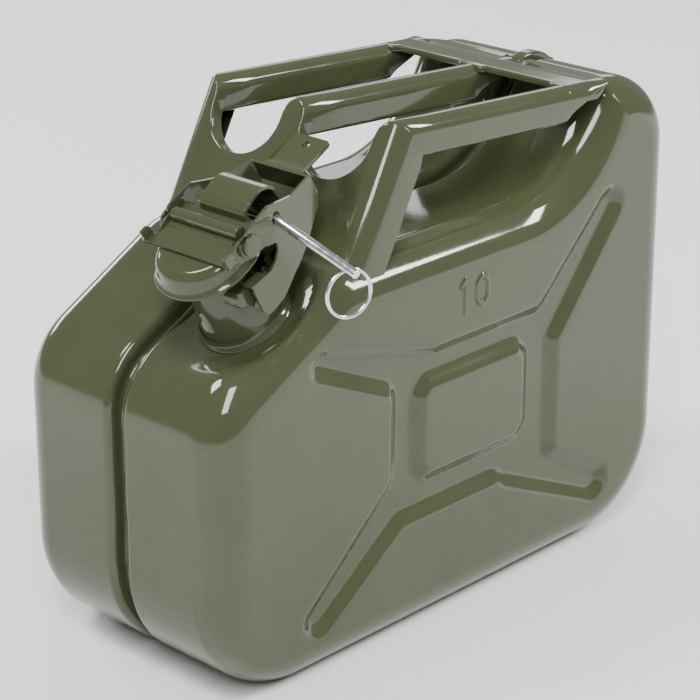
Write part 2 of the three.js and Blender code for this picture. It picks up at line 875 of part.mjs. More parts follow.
function closureLever() {
  const webU = 57.5;
  const webHalf = CHEEK_HALF - cheekIn(webU);
  let made = boxBetween([webU - 1.7, -webHalf, 35], [webU, webHalf, 46.4]);
  const tab = slab(
    [
      [webU - 1.7, 44.7],
      [62, 42.6],
      [81.5, 42.6],
      [81.5, 44.3],
      [62.6, 44.3],
      [webU, 46.4],
    ],
    -12,
    12,
  );
  made = made.add(tab);
  for (const side of [-1, 1]) {
    const inner = 21;
    const y0 = side > 0 ? inner : -CHEEK_HALF;
    const y1 = side > 0 ? CHEEK_HALF : -inner;
    const hook = slab(
      [
        [-4.6, 18.4],
        [-2.9, 17.3],
        [3.5, 27.2],
        [1.9, 28.4],
      ],
      y0,
      y1,
    );
    const brow = slab(
      [
        [-4.5, 32],
        [6, 30.3],
        [6, 31.7],
        [-4.5, 33.4],
      ],
      y0,
      y1,
    );
    made = made.add(cheek(side)).add(hook).add(brow);
  }
  made = made.subtract(crossRod(LEVER_PIVOT.u, LEVER_PIVOT.w, 2.8, -40, 40));
  made = made.subtract(crossRod(PIN_HOLE.u, PIN_HOLE.w, 3.3, -40, 40));
  const eyelet = new THREE.CylinderGeometry(2.4, 2.4, 20, 16);
  eyelet.rotateX(Math.PI / 2);
  eyelet.translate(75.5, 0, 44);
  return made.subtract(solid(eyelet));
}

// ---- Locking pin and ring -----------------------------------------------------------------

// A point given in the neck's frame, in the can's frame.
function fromNeck(u, y, w) {
  const t = deg(NECK_TILT);
  return new THREE.Vector3(
    NECK.x + u * Math.cos(t) - w * Math.sin(t),
    NECK.y + y,
    NECK.z + u * Math.sin(t) + w * Math.cos(t),
  );
}

const pinDirection = new THREE.Vector3(0, -Math.cos(deg(PIN_DROOP)), -Math.sin(deg(PIN_DROOP)));
const nearCheek = CHEEK_HALF - cheekIn(PIN_HOLE.u) - CHEEK / 2;
const pinEntry = fromNeck(PIN_HOLE.u, -nearCheek, PIN_HOLE.w);
const ringAxis = new THREE.Vector3(Math.sin(deg(RING_TURN)), Math.cos(deg(RING_TURN)), 0);
const crossHole = pinEntry.clone().addScaledVector(pinDirection, PIN_LENGTH - PIN_INSIDE - 5.5);

function lockingPin() {
  const geometry = new THREE.LatheGeometry(
    [
      [0, -PIN_INSIDE],
      [0.9, -PIN_INSIDE],
      [PIN_R, 1 - PIN_INSIDE + 4],
      [PIN_R, PIN_LENGTH - PIN_INSIDE - 0.6],
      [PIN_R - 0.6, PIN_LENGTH - PIN_INSIDE],
      [0, PIN_LENGTH - PIN_INSIDE],
    ].map(([r, h]) => new THREE.Vector2(r, h)),
    18,
  );
  const stand = new THREE.Quaternion().setFromUnitVectors(
    new THREE.Vector3(0, 1, 0),
    pinDirection,
  );
  geometry.applyQuaternion(stand);
  geometry.translate(...pinEntry);
  const drill = new THREE.CylinderGeometry(1.75, 1.75, 12, 16);
  drill.rotateZ(Math.PI / 2);
  drill.translate(...crossHole);
  return solid(geometry).subtract(solid(drill));
}

function splitRing() {
  const geometry = new THREE.TorusGeometry(RING_R, RING_WIRE_R, 8, 30);
  const up = new THREE.Vector3(0, 0, 1);
  const basis = new THREE.Matrix4().makeBasis(
    up.clone().cross(ringAxis),
    up,
    ringAxis,
  );
  geometry.applyMatrix4(basis);
  geometry.translate(crossHole.x, crossHole.y, crossHole.z - RING_R);
  return solid(geometry);
}

// ---- Assembly -----------------------------------------------------------------------------

const can = new THREE.Group();
can.name = "fuel_can";
can.add(piece("left_body_half", bodyHalf(1), ENAMEL));
can.add(piece("right_body_half", bodyHalf(-1), ENAMEL));
can.add(piece("seam_weld", seamWeld(), ENAMEL));
can.add(piece("handle_bar_left", handleBar(BAR_PITCH), ENAMEL));
can.add(piece("handle_bar_middle", handleBar(0), ENAMEL));
can.add(piece("handle_bar_right", handleBar(-BAR_PITCH), ENAMEL));
can.add(piece("handle_front_plate", handleFrontPlate(), ENAMEL));
can.add(piece("handle_rear_plate", handleRearPlate(), ENAMEL));
can.add(piece("seam_cover", seamCover(), ENAMEL));
can.add(piece("vent_pipe", ventPipe(), ZINC));
can.add(piece("vent_pipe_clip", ventClip(), ZINC));

const closure = new THREE.Group();
closure.position.set(NECK.x, NECK.y, NECK.z);
closure.rotation.y = deg(-NECK_TILT);
closure.add(piece("neck_tube", neckTube(), ENAMEL));
closure.add(piece("neck_foot_ring", neckFootRing(), ENAMEL));
closure.add(piece("neck_lug_left", neckLug(1), ENAMEL));
closure.add(piece("neck_lug_right", neckLug(-1), ENAMEL));
closure.add(piece("hinge_bracket", hingeBracket(), ENAMEL));
closure.add(piece("hinge_pin", hingePin(), ENAMEL));
closure.add(piece("cap_shell", capShell(), ENAMEL));
closure.add(piece("cap_gasket", capGasket(), RUBBER));
closure.add(piece("cap_strap", capStrap(), ENAMEL));
closure.add(piece("pivot_rivet_left", pivotRivet(1), ENAMEL));
closure.add(piece("pivot_rivet_right", pivotRivet(-1), ENAMEL));
closure.add(piece("closure_lever", closureLever(), ENAMEL));
can.add(closure);

can.add(piece("locking_pin", lockingPin(), ZINC));
can.add(piece("split_ring", splitRing(), ZINC));

// The frame's origin is the middle of the whole object's footprint, at the base.
const reach = new THREE.Box3().setFromObject(can, true);
can.position.set(
  -(reach.min.x + reach.max.x) / 2,
  -(reach.min.y + reach.max.y) / 2,
  -reach.min.z,
);

export default can;
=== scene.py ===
"""Looks of a ten litre pressed-steel fuel can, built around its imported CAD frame.

Lengths in the classes are millimetres in the can's own axes: X to the rear, Y to the left
with 0 at the seam, Z up from the floor. The closure's classes use the neck's axes: u to the
rear, y sideways, w along the neck.
"""

import logging
import math
from dataclasses import dataclass, field
from enum import Enum

import bmesh
import bpy
import numpy as np
from mathutils import Matrix, Vector
from mathutils.geometry import delaunay_2d_cdt


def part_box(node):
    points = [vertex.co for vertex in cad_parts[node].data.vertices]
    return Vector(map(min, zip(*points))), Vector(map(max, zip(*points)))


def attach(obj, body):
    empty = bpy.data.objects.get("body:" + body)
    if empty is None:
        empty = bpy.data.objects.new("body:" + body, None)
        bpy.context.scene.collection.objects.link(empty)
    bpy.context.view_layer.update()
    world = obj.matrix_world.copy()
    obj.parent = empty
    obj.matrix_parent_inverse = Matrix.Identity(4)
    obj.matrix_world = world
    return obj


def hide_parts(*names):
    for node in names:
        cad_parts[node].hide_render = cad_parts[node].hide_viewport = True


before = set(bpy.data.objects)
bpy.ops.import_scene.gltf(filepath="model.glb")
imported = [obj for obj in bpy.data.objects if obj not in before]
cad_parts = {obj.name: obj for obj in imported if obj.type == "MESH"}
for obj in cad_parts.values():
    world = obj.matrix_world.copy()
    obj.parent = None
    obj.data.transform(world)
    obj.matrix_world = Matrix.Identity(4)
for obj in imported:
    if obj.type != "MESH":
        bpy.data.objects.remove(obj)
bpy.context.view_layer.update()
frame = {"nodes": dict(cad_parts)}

LOG = logging.getLogger("fuel_can")
MM = 0.001
_SEAM_LOW, _SEAM_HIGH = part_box("seam_weld")
NECK_FOOT = (-115.2, -32.2, 186.6)
NECK_LEAN = 30
SIDES = {"left": 1, "right": -1}
SEAM_Y = (_SEAM_LOW.y + _SEAM_HIGH.y) / 2 / MM  # where the can's middle plane is in the row frame

Point = tuple[float, float]
Place = tuple[float, float, float]
Faces = list[tuple[int, ...]]
Solid = tuple[np.ndarray, Faces]


class Body(Enum):
    """The moving bodies that pieces ride on."""

    CAN = "can"
    CAP = "cap"
    LEVER = "lever"
    PIN = "pin"
    RING = "ring"


class Slot(Enum):
    """The record's material slots."""

    ENAMEL = "olive_enamel"
    ZINC = "zinc_plate"
    TINNED = "tinned_steel"
    RUBBER = "gasket_rubber"


# ---- Finishes -----------------------------------------------------------------------------


def linear(hex_colour: str) -> tuple[float, float, float, float]:
    """Turns an sRGB hex colour into linear light.

    Args:
        hex_colour: Six hex digits with a leading hash sign.

    Returns:
        Linear red, green, blue and an alpha of 1.
    """
    parts = [int(hex_colour[i : i + 2], 16) / 255 for i in (1, 3, 5)]
    made = [c / 12.92 if c <= 0.04045 else ((c + 0.055) / 1.055) ** 2.4 for c in parts]
    return made[0], made[1], made[2], 1.0


def add_node(
    material: bpy.types.Material,
    kind: str,
    values: dict[str | int, object] | None = None,
    links: dict[str | int, bpy.types.NodeSocket] | None = None,
    **settings: object,
) -> bpy.types.Node:
    """Adds one shader node.

    Args:
        material: The material whose tree gets the node.
        kind: The node's type name.
        values: Input socket to fixed value.
        links: Input socket to the output that feeds it.
        **settings: Attributes set on the node itself.

    Returns:
        The new node.
    """
    node = material.node_tree.nodes.new(kind)
    for name, value in settings.items():
        setattr(node, name, value)
    for socket, value in (values or {}).items():
        node.inputs[socket].default_value = value
    for socket, output in (links or {}).items():
        material.node_tree.links.new(output, node.inputs[socket])
    return node


def new_material(name: str) -> tuple[bpy.types.Material, bpy.types.Node]:
    """Makes an empty node material with a Principled shader on its output.

    Args:
        name: The material's name.

    Returns:
        The material and its Principled node.
    """
    material = bpy.data.materials.new(name)
    material.use_nodes = True
    material.node_tree.nodes.clear()
    shader = add_node(material, "ShaderNodeBsdfPrincipled")
    add_node(material, "ShaderNodeOutputMaterial", links={"Surface": shader.outputs[0]})
    return material, shader


def surface_point(material: bpy.types.Material) -> bpy.types.NodeSocket:
    """The shaded point in the object's own coordinates, which are metres.

    Args:
        material: The material whose tree gets the node.

    Returns:
        The Object output.
    """
    return add_node(material, "ShaderNodeTexCoord").outputs["Object"]


def noise(
    material: bpy.types.Material, size_mm: float, detail: float, rough: float = 0.5
) -> bpy.types.NodeSocket:
    """A noise pattern with features of a real size.

    Args:
        material: The material whose tree gets the nodes.
        size_mm: Size of the largest features.
        detail: Number of finer octaves.
        rough: Strength of each finer octave.

    Returns:
        The pattern's value, from 0 to 1.
    """
    values = {"Scale": 1.0 / (size_mm * MM), "Detail": detail, "Roughness": rough}
    links = {"Vector": surface_point(material)}
    return add_node(material, "ShaderNodeTexNoise", values, links).outputs["Fac"]


def mapped(
    material: bpy.types.Material,
    source: bpy.types.NodeSocket,
    low: float,
    high: float,
    out_low: float,
    out_high: float,
) -> bpy.types.NodeSocket:
    """Maps a value's range onto another one, clamped.

    Args:
        material: The material whose tree gets the node.
        source: The value to map.
        low: Start of the incoming range.
        high: End of the incoming range.
        out_low: Result at low.
        out_high: Result at high.

    Returns:
        The mapped value.
    """
    values = {1: low, 2: high, 3: out_low, 4: out_high}
    return add_node(material, "ShaderNodeMapRange", values, {0: source}).outputs[0]


def mixed(
    material: bpy.types.Material,
    factor: bpy.types.NodeSocket,
    first: bpy.types.NodeSocket | tuple[float, float, float, float],
    second: tuple[float, float, float, float],
) -> bpy.types.NodeSocket:
    """Blends two colours.

    Args:
        material: The material whose tree gets the node.
        factor: 0 gives the first colour, 1 the second.
        first: Linear colour, or a colour output.
        second: Linear colour.

    Returns:
        The blended colour.
    """
    values, links = {7: second}, {0: factor}
    target = links if isinstance(first, bpy.types.NodeSocket) else values
    target[6] = first
    return add_node(material, "ShaderNodeMix", values, links, data_type="RGBA").outputs[2]


def bumped(
    material: bpy.types.Material,
    height: bpy.types.NodeSocket,
    depth_mm: float,
    strength: float = 1.0,
    after: bpy.types.NodeSocket | None = None,
) -> bpy.types.NodeSocket:
    """Turns a height into a bent normal.

    Args:
        material: The material whose tree gets the node.
        height: Height from 0 to 1.
        depth_mm: What a height of 1 stands for.
        strength: Share of the bend that is kept.
        after: A normal that is already bent.

    Returns:
        The bent normal.
    """
    links = {"Height": height}
    if after is not None:
        links["Normal"] = after
    values = {"Distance": depth_mm * MM, "Strength": strength}
    return add_node(material, "ShaderNodeBump", values, links).outputs[0]


def dress(
    shader: bpy.types.Node,
    colour: bpy.types.NodeSocket,
    rough: bpy.types.NodeSocket,
    normal: bpy.types.NodeSocket,
    **fixed: float,
) -> None:
    """Feeds a Principled shader.

    Args:
        shader: The Principled node.
        colour: Base colour.
        rough: Roughness.
        normal: Bent normal.
        **fixed: Other inputs by name, each with one value.
    """
    for name, output in (("Base Color", colour), ("Roughness", rough), ("Normal", normal)):
        shader.id_data.links.new(output, shader.inputs[name])
    for name, value in fixed.items():
        shader.inputs[name].default_value = value


@dataclass(frozen=True)
class StovedEnamel:
    """Olive alkyd enamel, sprayed wet and stoved on pressed steel: a deep gloss over a slightly
    wavy film, so soft lights show as broad sheens with faintly rippled edges."""

    name: str = "olive_alkyd_enamel_sprayed_and_stoved"
    colour: str = "#40462f"
    deep: str = "#3c422c"
    pigment: str = "#484e37"
    roughness: float = 0.085

    def build(self) -> bpy.types.Material:
        """Makes the material.

        Returns:
            The finished material.
        """
        material, shader = new_material(self.name)
        tone = mapped(material, noise(material, 38.0, 4.0), 0.35, 0.65, 0.0, 1.0)
        tint = mixed(material, tone, linear(self.deep), linear(self.colour))
        # Fine pigment grain keeps the film from looking like one flat fill up close.
        grain = mapped(material, noise(material, 0.5, 2.0), 0.3, 0.7, 0.0, 0.35)
        tint = mixed(material, grain, tint, linear(self.pigment))
        # Light handling haze makes some patches a little less sharp than others.
        sharp, dull = self.roughness - 0.025, self.roughness + 0.03
        film = mapped(material, noise(material, 22.0, 5.0, 0.6), 0.3, 0.7, sharp, dull)
        # Orange peel of the sprayed film, then the slow waviness of the drawn sheet below it.
        peel = bumped(material, noise(material, 2.6, 1.0), 0.012, 0.6)
        sheet = bumped(material, noise(material, 45.0, 1.0), 0.4, 0.55, peel)
        dress(shader, tint, film, sheet, IOR=1.5)
        return material


@dataclass(frozen=True)
class MottledFinish:
    """A finish whose soft patches set both its tone and its sharpness."""

    name: str
    dark: str
    light: str
    patch_mm: float
    tone: tuple[float, float]
    roughness: tuple[float, float]
    relief_mm: float
    relief_share: float
    grain_mm: float | None
    metallic: float

    def build(self) -> bpy.types.Material:
        """Makes the material.

        Returns:
            The finished material.
        """
        material, shader = new_material(self.name)
        patches = noise(material, self.patch_mm, 4.0)
        tone = mapped(material, patches, *self.tone, 0.0, 1.0)
        tint = mixed(material, tone, linear(self.dark), linear(self.light))
        rough = mapped(material, patches, 0.3, 0.7, *self.roughness)
        grain = noise(material, self.grain_mm, 2.0) if self.grain_mm else patches
        relief = bumped(material, grain, self.relief_mm, self.relief_share)
        dress(shader, tint, rough, relief, Metallic=self.metallic)
        return material


# Bright electroplated zinc on drawn wire: mirror-like with fine drawing marks and a faint bluish
# cast, so it flashes white and black beside the paint.
BRIGHT_ZINC = MottledFinish(
    name="steel_wire_bright_zinc_electroplated",
    dark="#d3d6db",
    light="#e9ebee",
    patch_mm=3.0,
    tone=(0.3, 0.7),
    roughness=(0.16, 0.3),
    relief_mm=0.01,
    relief_share=0.35,
    grain_mm=0.4,
    metallic=1.0,
)
# Hot-tinned drawn tube: a soft grey metal with dull flow marks, seen deep in the neck.
TINNED_TUBE = MottledFinish(
    name="steel_tube_hot_tinned",
    dark="#9a9b98",
    light="#c4c5c1",
    patch_mm=5.0,
    tone=(0.3, 0.7),
    roughness=(0.25, 0.45),
    relief_mm=0.05,
    relief_share=0.5,
    grain_mm=None,
    metallic=1.0,
)
# Moulded nitrile rubber: near black with a fine matt mould grain that scatters light.
MOULDED_RUBBER = MottledFinish(
    name="nitrile_rubber_moulded",
    dark="#191918",
    light="#2c2b29",
    patch_mm=6.0,
    tone=(0.4, 0.75),
    roughness=(0.55, 0.75),
    relief_mm=0.03,
    relief_share=0.5,
    grain_mm=0.6,
    metallic=0.0,
)


@dataclass(frozen=True)
class Palette:
    """The built materials by slot."""

    materials: dict[Slot, bpy.types.Material]

    @classmethod
    def build(cls) -> "Palette":
        """Builds every finish.

        Returns:
            The palette.
        """
        finishes = {
            Slot.ENAMEL: StovedEnamel(),
            Slot.ZINC: BRIGHT_ZINC,
            Slot.TINNED: TINNED_TUBE,
            Slot.RUBBER: MOULDED_RUBBER,
        }
        return cls({slot: finish.build() for slot, finish in finishes.items()})


# ---- Mesh tools ---------------------------------------------------------------------------


def rounded(points: list[Point], radius: float, steps: int = 5) -> list[Point]:
    """Rounds the corners of a closed outline.

    Args:
        points: The outline's corners.
        radius: Fillet radius, less where an edge is too short for it.
        steps: Segments in each fillet.

    Returns:
        The rounded outline.
    """
    made: list[Point] = []
    count = len(points)
    for i, here in enumerate(points):
        p = np.array(here, float)
        a = np.array(points[i - 1], float) - p
        b = np.array(points[(i + 1) % count], float) - p
        la, lb = np.linalg.norm(a), np.linalg.norm(b)
        a, b = a / la, b / lb
        angle = math.acos(float(np.clip(a @ b, -1, 1)))
        if angle > math.radians(176) or radius <= 0:
            made.append((p[0], p[1]))
            continue
        cut = min(radius / math.tan(angle / 2), 0.48 * la, 0.48 * lb)
        start, end = p + a * cut, p + b * cut
        for k in range(steps + 1):
            t = k / steps
            q = (1 - t) ** 2 * start + 2 * t * (1 - t) * p + t**2 * end
            made.append((float(q[0]), float(q[1])))
    return made


def arc(
    cx: float, cz: float, radius: float, start: float, end: float, steps: int
) -> list[Point]:
    """Points along an arc, angles in degrees.

    Args:
        cx: Centre along the first axis.
        cz: Centre along the second axis.
        radius: Arc radius.
        start: First angle.
        end: Last angle.
        steps: Segments in the arc.

    Returns:
        The points.
    """
    turns = [math.radians(start + (end - start) * i / steps) for i in range(steps + 1)]
    return [(cx + radius * math.cos(a), cz + radius * math.sin(a)) for a in turns]


def joined(solids: list[Solid]) -> Solid:
    """Puts several solids into one vertex and face list.

    Args:
        solids: The solids.

    Returns:
        All their vertices and faces.
    """
    points, faces, base = [], [], 0
    for verts, polys in solids:
        points.append(np.asarray(verts, float).reshape(-1, 3))
        faces += [tuple(v + base for v in face) for face in polys]
        base += len(points[-1])
    return np.vstack(points), faces


def lofted(rows: int, count: int, wrap: bool = False, flip: bool = False) -> Faces:
    """Faces between rings of points.

    Args:
        rows: Number of rings.
        count: Points in each ring.
        wrap: True joins the last ring to the first one.
        flip: True turns the faces round.

    Returns:
        The faces.
    """
    faces: Faces = []
    for row in range(rows if wrap else rows - 1):
        a, b = row * count, ((row + 1) % rows) * count
        for i in range(count):
            j = (i + 1) % count
            faces.append((a + i, b + i, b + j, a + j) if flip else (a + i, a + j, b + j, b + i))
    return faces


def eased(t: float | np.ndarray) -> float | np.ndarray:
    """A smooth step.

    Args:
        t: From 0 to 1, and held there outside that range.

    Returns:
        From 0 to 1.
    """
    t = np.clip(t, 0.0, 1.0)
    return t * t * (3 - 2 * t)


def slab(outline: list[Point], y0: float, y1: float) -> Solid:
    """A plate with an outline in the side view.

    Args:
        outline: Points as (x, z) or (u, w).
        y0: Low face.
        y1: High face.

    Returns:
        The plate.
    """
    n = len(outline)
    xz = np.array(outline, float)
    verts = np.vstack([np.column_stack([xz[:, 0], np.full(n, y), xz[:, 1]]) for y in (y0, y1)])
    faces: Faces = [tuple(range(n)), tuple(range(2 * n - 1, n - 1, -1))]
    faces += [(i, i + n, (i + 1) % n + n, (i + 1) % n) for i in range(n)]
    return verts, faces


def rod(u: float, w: float, radius: float, y0: float, y1: float, dome: float = 0.0) -> Solid:
    """A round bar along Y, with ends that may be domed.

    Args:
        u: Axis place along the first axis.
        w: Axis place along the third axis.
        radius: Bar radius.
        y0: Low end.
        y1: High end.
        dome: How far each end bulges.

    Returns:
        The bar.
    """
    edge, steps = 0.35, 5
    low: list[Point] = []
    for k in range(steps + 1):
        a = math.radians(90 * k / steps)
        share = edge + (1 - edge) * k / steps if dome else 1.0
        out = (radius - edge + edge * math.sin(a)) * share
        low.append((y0 + edge - (edge + dome) * math.cos(a), out))
    high = [(y0 + y1 - y, r) for y, r in reversed(low)]
    profile = [(low[0][0], 0.0), *low, *high, (high[-1][0], 0.0)]
    verts, faces = turned([(r, y) for y, r in profile], 40)
    placed = np.column_stack([verts[:, 0] + u, verts[:, 2], verts[:, 1] + w])
    return placed, [tuple(reversed(f)) for f in faces]


def turned(profile: list[Point], sides: int = 96, closed: bool = False) -> Solid:
    """A surface of revolution about the third axis.

    Args:
        profile: Points as (radius, height).
        sides: Segments round the axis.
        closed: True where the profile is a loop off the axis.

    Returns:
        The turned solid.
    """
    angles = np.linspace(0, 2 * math.pi, sides, endpoint=False)
    cos, sin = np.cos(angles), np.sin(angles)
    verts = np.vstack([np.column_stack([r * cos, r * sin, np.full(sides, h)]) for r, h in profile])
    return verts, lofted(len(profile), sides, wrap=closed)


def pierced(
    outline: list[Point],
    centre: Point,
    radius: float,
    spots: list[Point],
    folds: list[tuple[Point, Point]],
) -> tuple[list[Point], Faces]:
    """A flat sheet with one round hole.

    Args:
        outline: The sheet's outline.
        centre: Middle of the hole.
        radius: Radius of the hole.
        spots: Free points inside the sheet, which let it bend.
        folds: Lines across the sheet that its faces keep to.

    Returns:
        Points and faces.
    """
    hole = arc(*centre, radius, 0, 345, 23)
    count, ring = len(outline), len(hole)
    cloud = [*outline, *hole, *spots]
    edges = [(i, (i + 1) % count) for i in range(count)]
    edges += [(count + i, count + (i + 1) % ring) for i in range(ring)]
    for fold in folds:
        edges.append((len(cloud), len(cloud) + 1))
        cloud += fold
    verts, _, faces, *_ = delaunay_2d_cdt([Vector(p) for p in cloud], edges, [], 1, 1e-4)
    kept = []
    for face in faces:
        middle = sum((verts[v] for v in face), Vector((0, 0))) / len(face)
        if (middle - Vector(centre)).length > radius - 0.1:
            kept.append(tuple(face))
    return [(v.x, v.y) for v in verts], kept


def thickened(near: list[Place], far: list[Place], faces: Faces) -> Solid:
    """Closes two copies of one sheet into a solid.

    Args:
        near: Points of the first face.
        far: The same points on the other face.
        faces: Faces of the sheet.

    Returns:
        The solid.
    """
    n = len(near)
    polys = faces + [tuple(n + v for v in reversed(face)) for face in faces]
    used = {(face[i], face[(i + 1) % len(face)]): None for face in faces for i in range(len(face))}
    polys += [(a, a + n, b + n, b) for a, b in used if (b, a) not in used]
    return np.array([*near, *far]), polys


def sliced(work: bmesh.types.BMesh, axis: int, at: float) -> None:
    """Cuts a mesh across, so that it can be bent there.

    Args:
        work: The mesh.
        axis: 0 for a cut across X, 1 for one across Y.
        at: Where the cut is.
    """
    geom = [*work.verts, *work.edges, *work.faces]
    way = Vector((axis == 0, axis == 1, 0))
    bmesh.ops.bisect_plane(work, geom=geom, plane_co=way * at, plane_no=way)


def taken(work: bmesh.types.BMesh) -> Solid:
    """Takes the points and faces out of a finished working mesh and frees it.

    Args:
        work: The mesh.

    Returns:
        The solid.
    """
    work.verts.index_update()
    verts = np.array([tuple(v.co) for v in work.verts])
    faces = [tuple(v.index for v in face.verts) for face in work.faces]
    work.free()
    return verts, faces


def neck_matrix() -> Matrix:
    """The neck's frame in the can's millimetres.

    Returns:
        A matrix from (u, y, w) to the can's axes.
    """
    lean = Matrix.Rotation(math.radians(-NECK_LEAN), 4, "Y")
    return Matrix.Translation(Vector(NECK_FOOT)) @ lean


NECK_FRAME = neck_matrix()


@dataclass
class Piece:
    """One visible piece: a mesh that stands for CAD nodes and rides on one body."""

    name: str
    solid: Solid
    nodes: list[str]
    body: Body = Body.CAN
    slot: Slot = Slot.ENAMEL
    on_neck: bool = False
    bevel: float = 0.0
    segments: int = 3
    sharp: float = 40.0
    normals: np.ndarray | None = None

    def build(self, palette: Palette) -> None:
        """Makes the object, dresses it and ties it to its body.

        Args:
            palette: The built materials.
        """
        verts, faces = self.solid
        mesh = bpy.data.meshes.new(self.name)
        place = Matrix.Scale(MM, 4) @ Matrix.Translation(Vector((0, SEAM_Y, 0)))
        if self.on_neck:
            place = place @ NECK_FRAME
        mesh.from_pydata([tuple(v) for v in verts.tolist()], [], faces)
        mesh.transform(place)
        if self.normals is None:
            self._tidy(mesh)
        mesh.materials.append(palette.materials[self.slot])
        obj = bpy.data.objects.new(self.name, mesh)
        bpy.context.scene.collection.objects.link(obj)
        self._shade(obj)
        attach(obj, self.body.value)
        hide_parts(*self.nodes)
        LOG.info("%s: %d faces, stands for %s", self.name, len(faces), ", ".join(self.nodes))

    def _tidy(self, mesh: bpy.types.Mesh) -> None:
        """Merges doubled points and turns every face outwards.

        Args:
            mesh: The mesh to tidy.
        """
        work = bmesh.new()
        work.from_mesh(mesh)
        bmesh.ops.remove_doubles(work, verts=work.verts, dist=0.002 * MM)
        bmesh.ops.recalc_face_normals(work, faces=work.faces)
        work.to_mesh(mesh)
        work.free()

    def _shade(self, obj: bpy.types.Object) -> None:
        """Sets smooth shading, rounded edges and normals.

        Args:
            obj: The object to shade.
        """
        mesh = obj.data
        mesh.shade_smooth()
        if self.normals is not None:
            mesh.normals_split_custom_set_from_vertices([tuple(n) for n in self.normals.tolist()])
            return
        if self.bevel > 0:
            bevel = obj.modifiers.new("rounded_edges", "BEVEL")
            bevel.width = self.bevel * MM
            bevel.segments = self.segments
            bevel.limit_method = "ANGLE"
            bevel.angle_limit = math.radians(32.0)
            bevel.use_clamp_overlap = True
            bevel.harden_normals = False
            weighted = obj.modifiers.new("face_weighted_normals", "WEIGHTED_NORMAL")
            weighted.keep_sharp = True
            return
        mesh.set_sharp_from_angle(angle=math.radians(self.sharp))


@dataclass
class Assembly:
    """A sub-assembly, which dresses its pieces from one palette."""

    palette: Palette

    def add(self, name: str, solid: Solid, node: str, **look: object) -> None:
        """Builds one piece.

        Args:
            name: The piece's name.
            solid: Its mesh.
            node: The CAD node that it stands for.
            **look: The piece's other fields, where they aren't the usual ones.
        """
        Piece(name, solid, [node], **look).build(self.palette)


@dataclass
class NeckAssembly(Assembly):
    """A sub-assembly drawn in the neck's axes, all on one body."""

    body: Body

    def add(self, name: str, solid: Solid, node: str, **look: object) -> None:
        """Builds one piece in the neck's axes.

        Args:
            name: The piece's name.
            solid: Its mesh.
            node: The CAD node that it stands for.
            **look: The piece's other fields, where they aren't the usual ones.
        """
        super().add(name, solid, node, **{"body": self.body, "on_neck": True} | look)


# ---- Body ---------------------------------------------------------------------------------


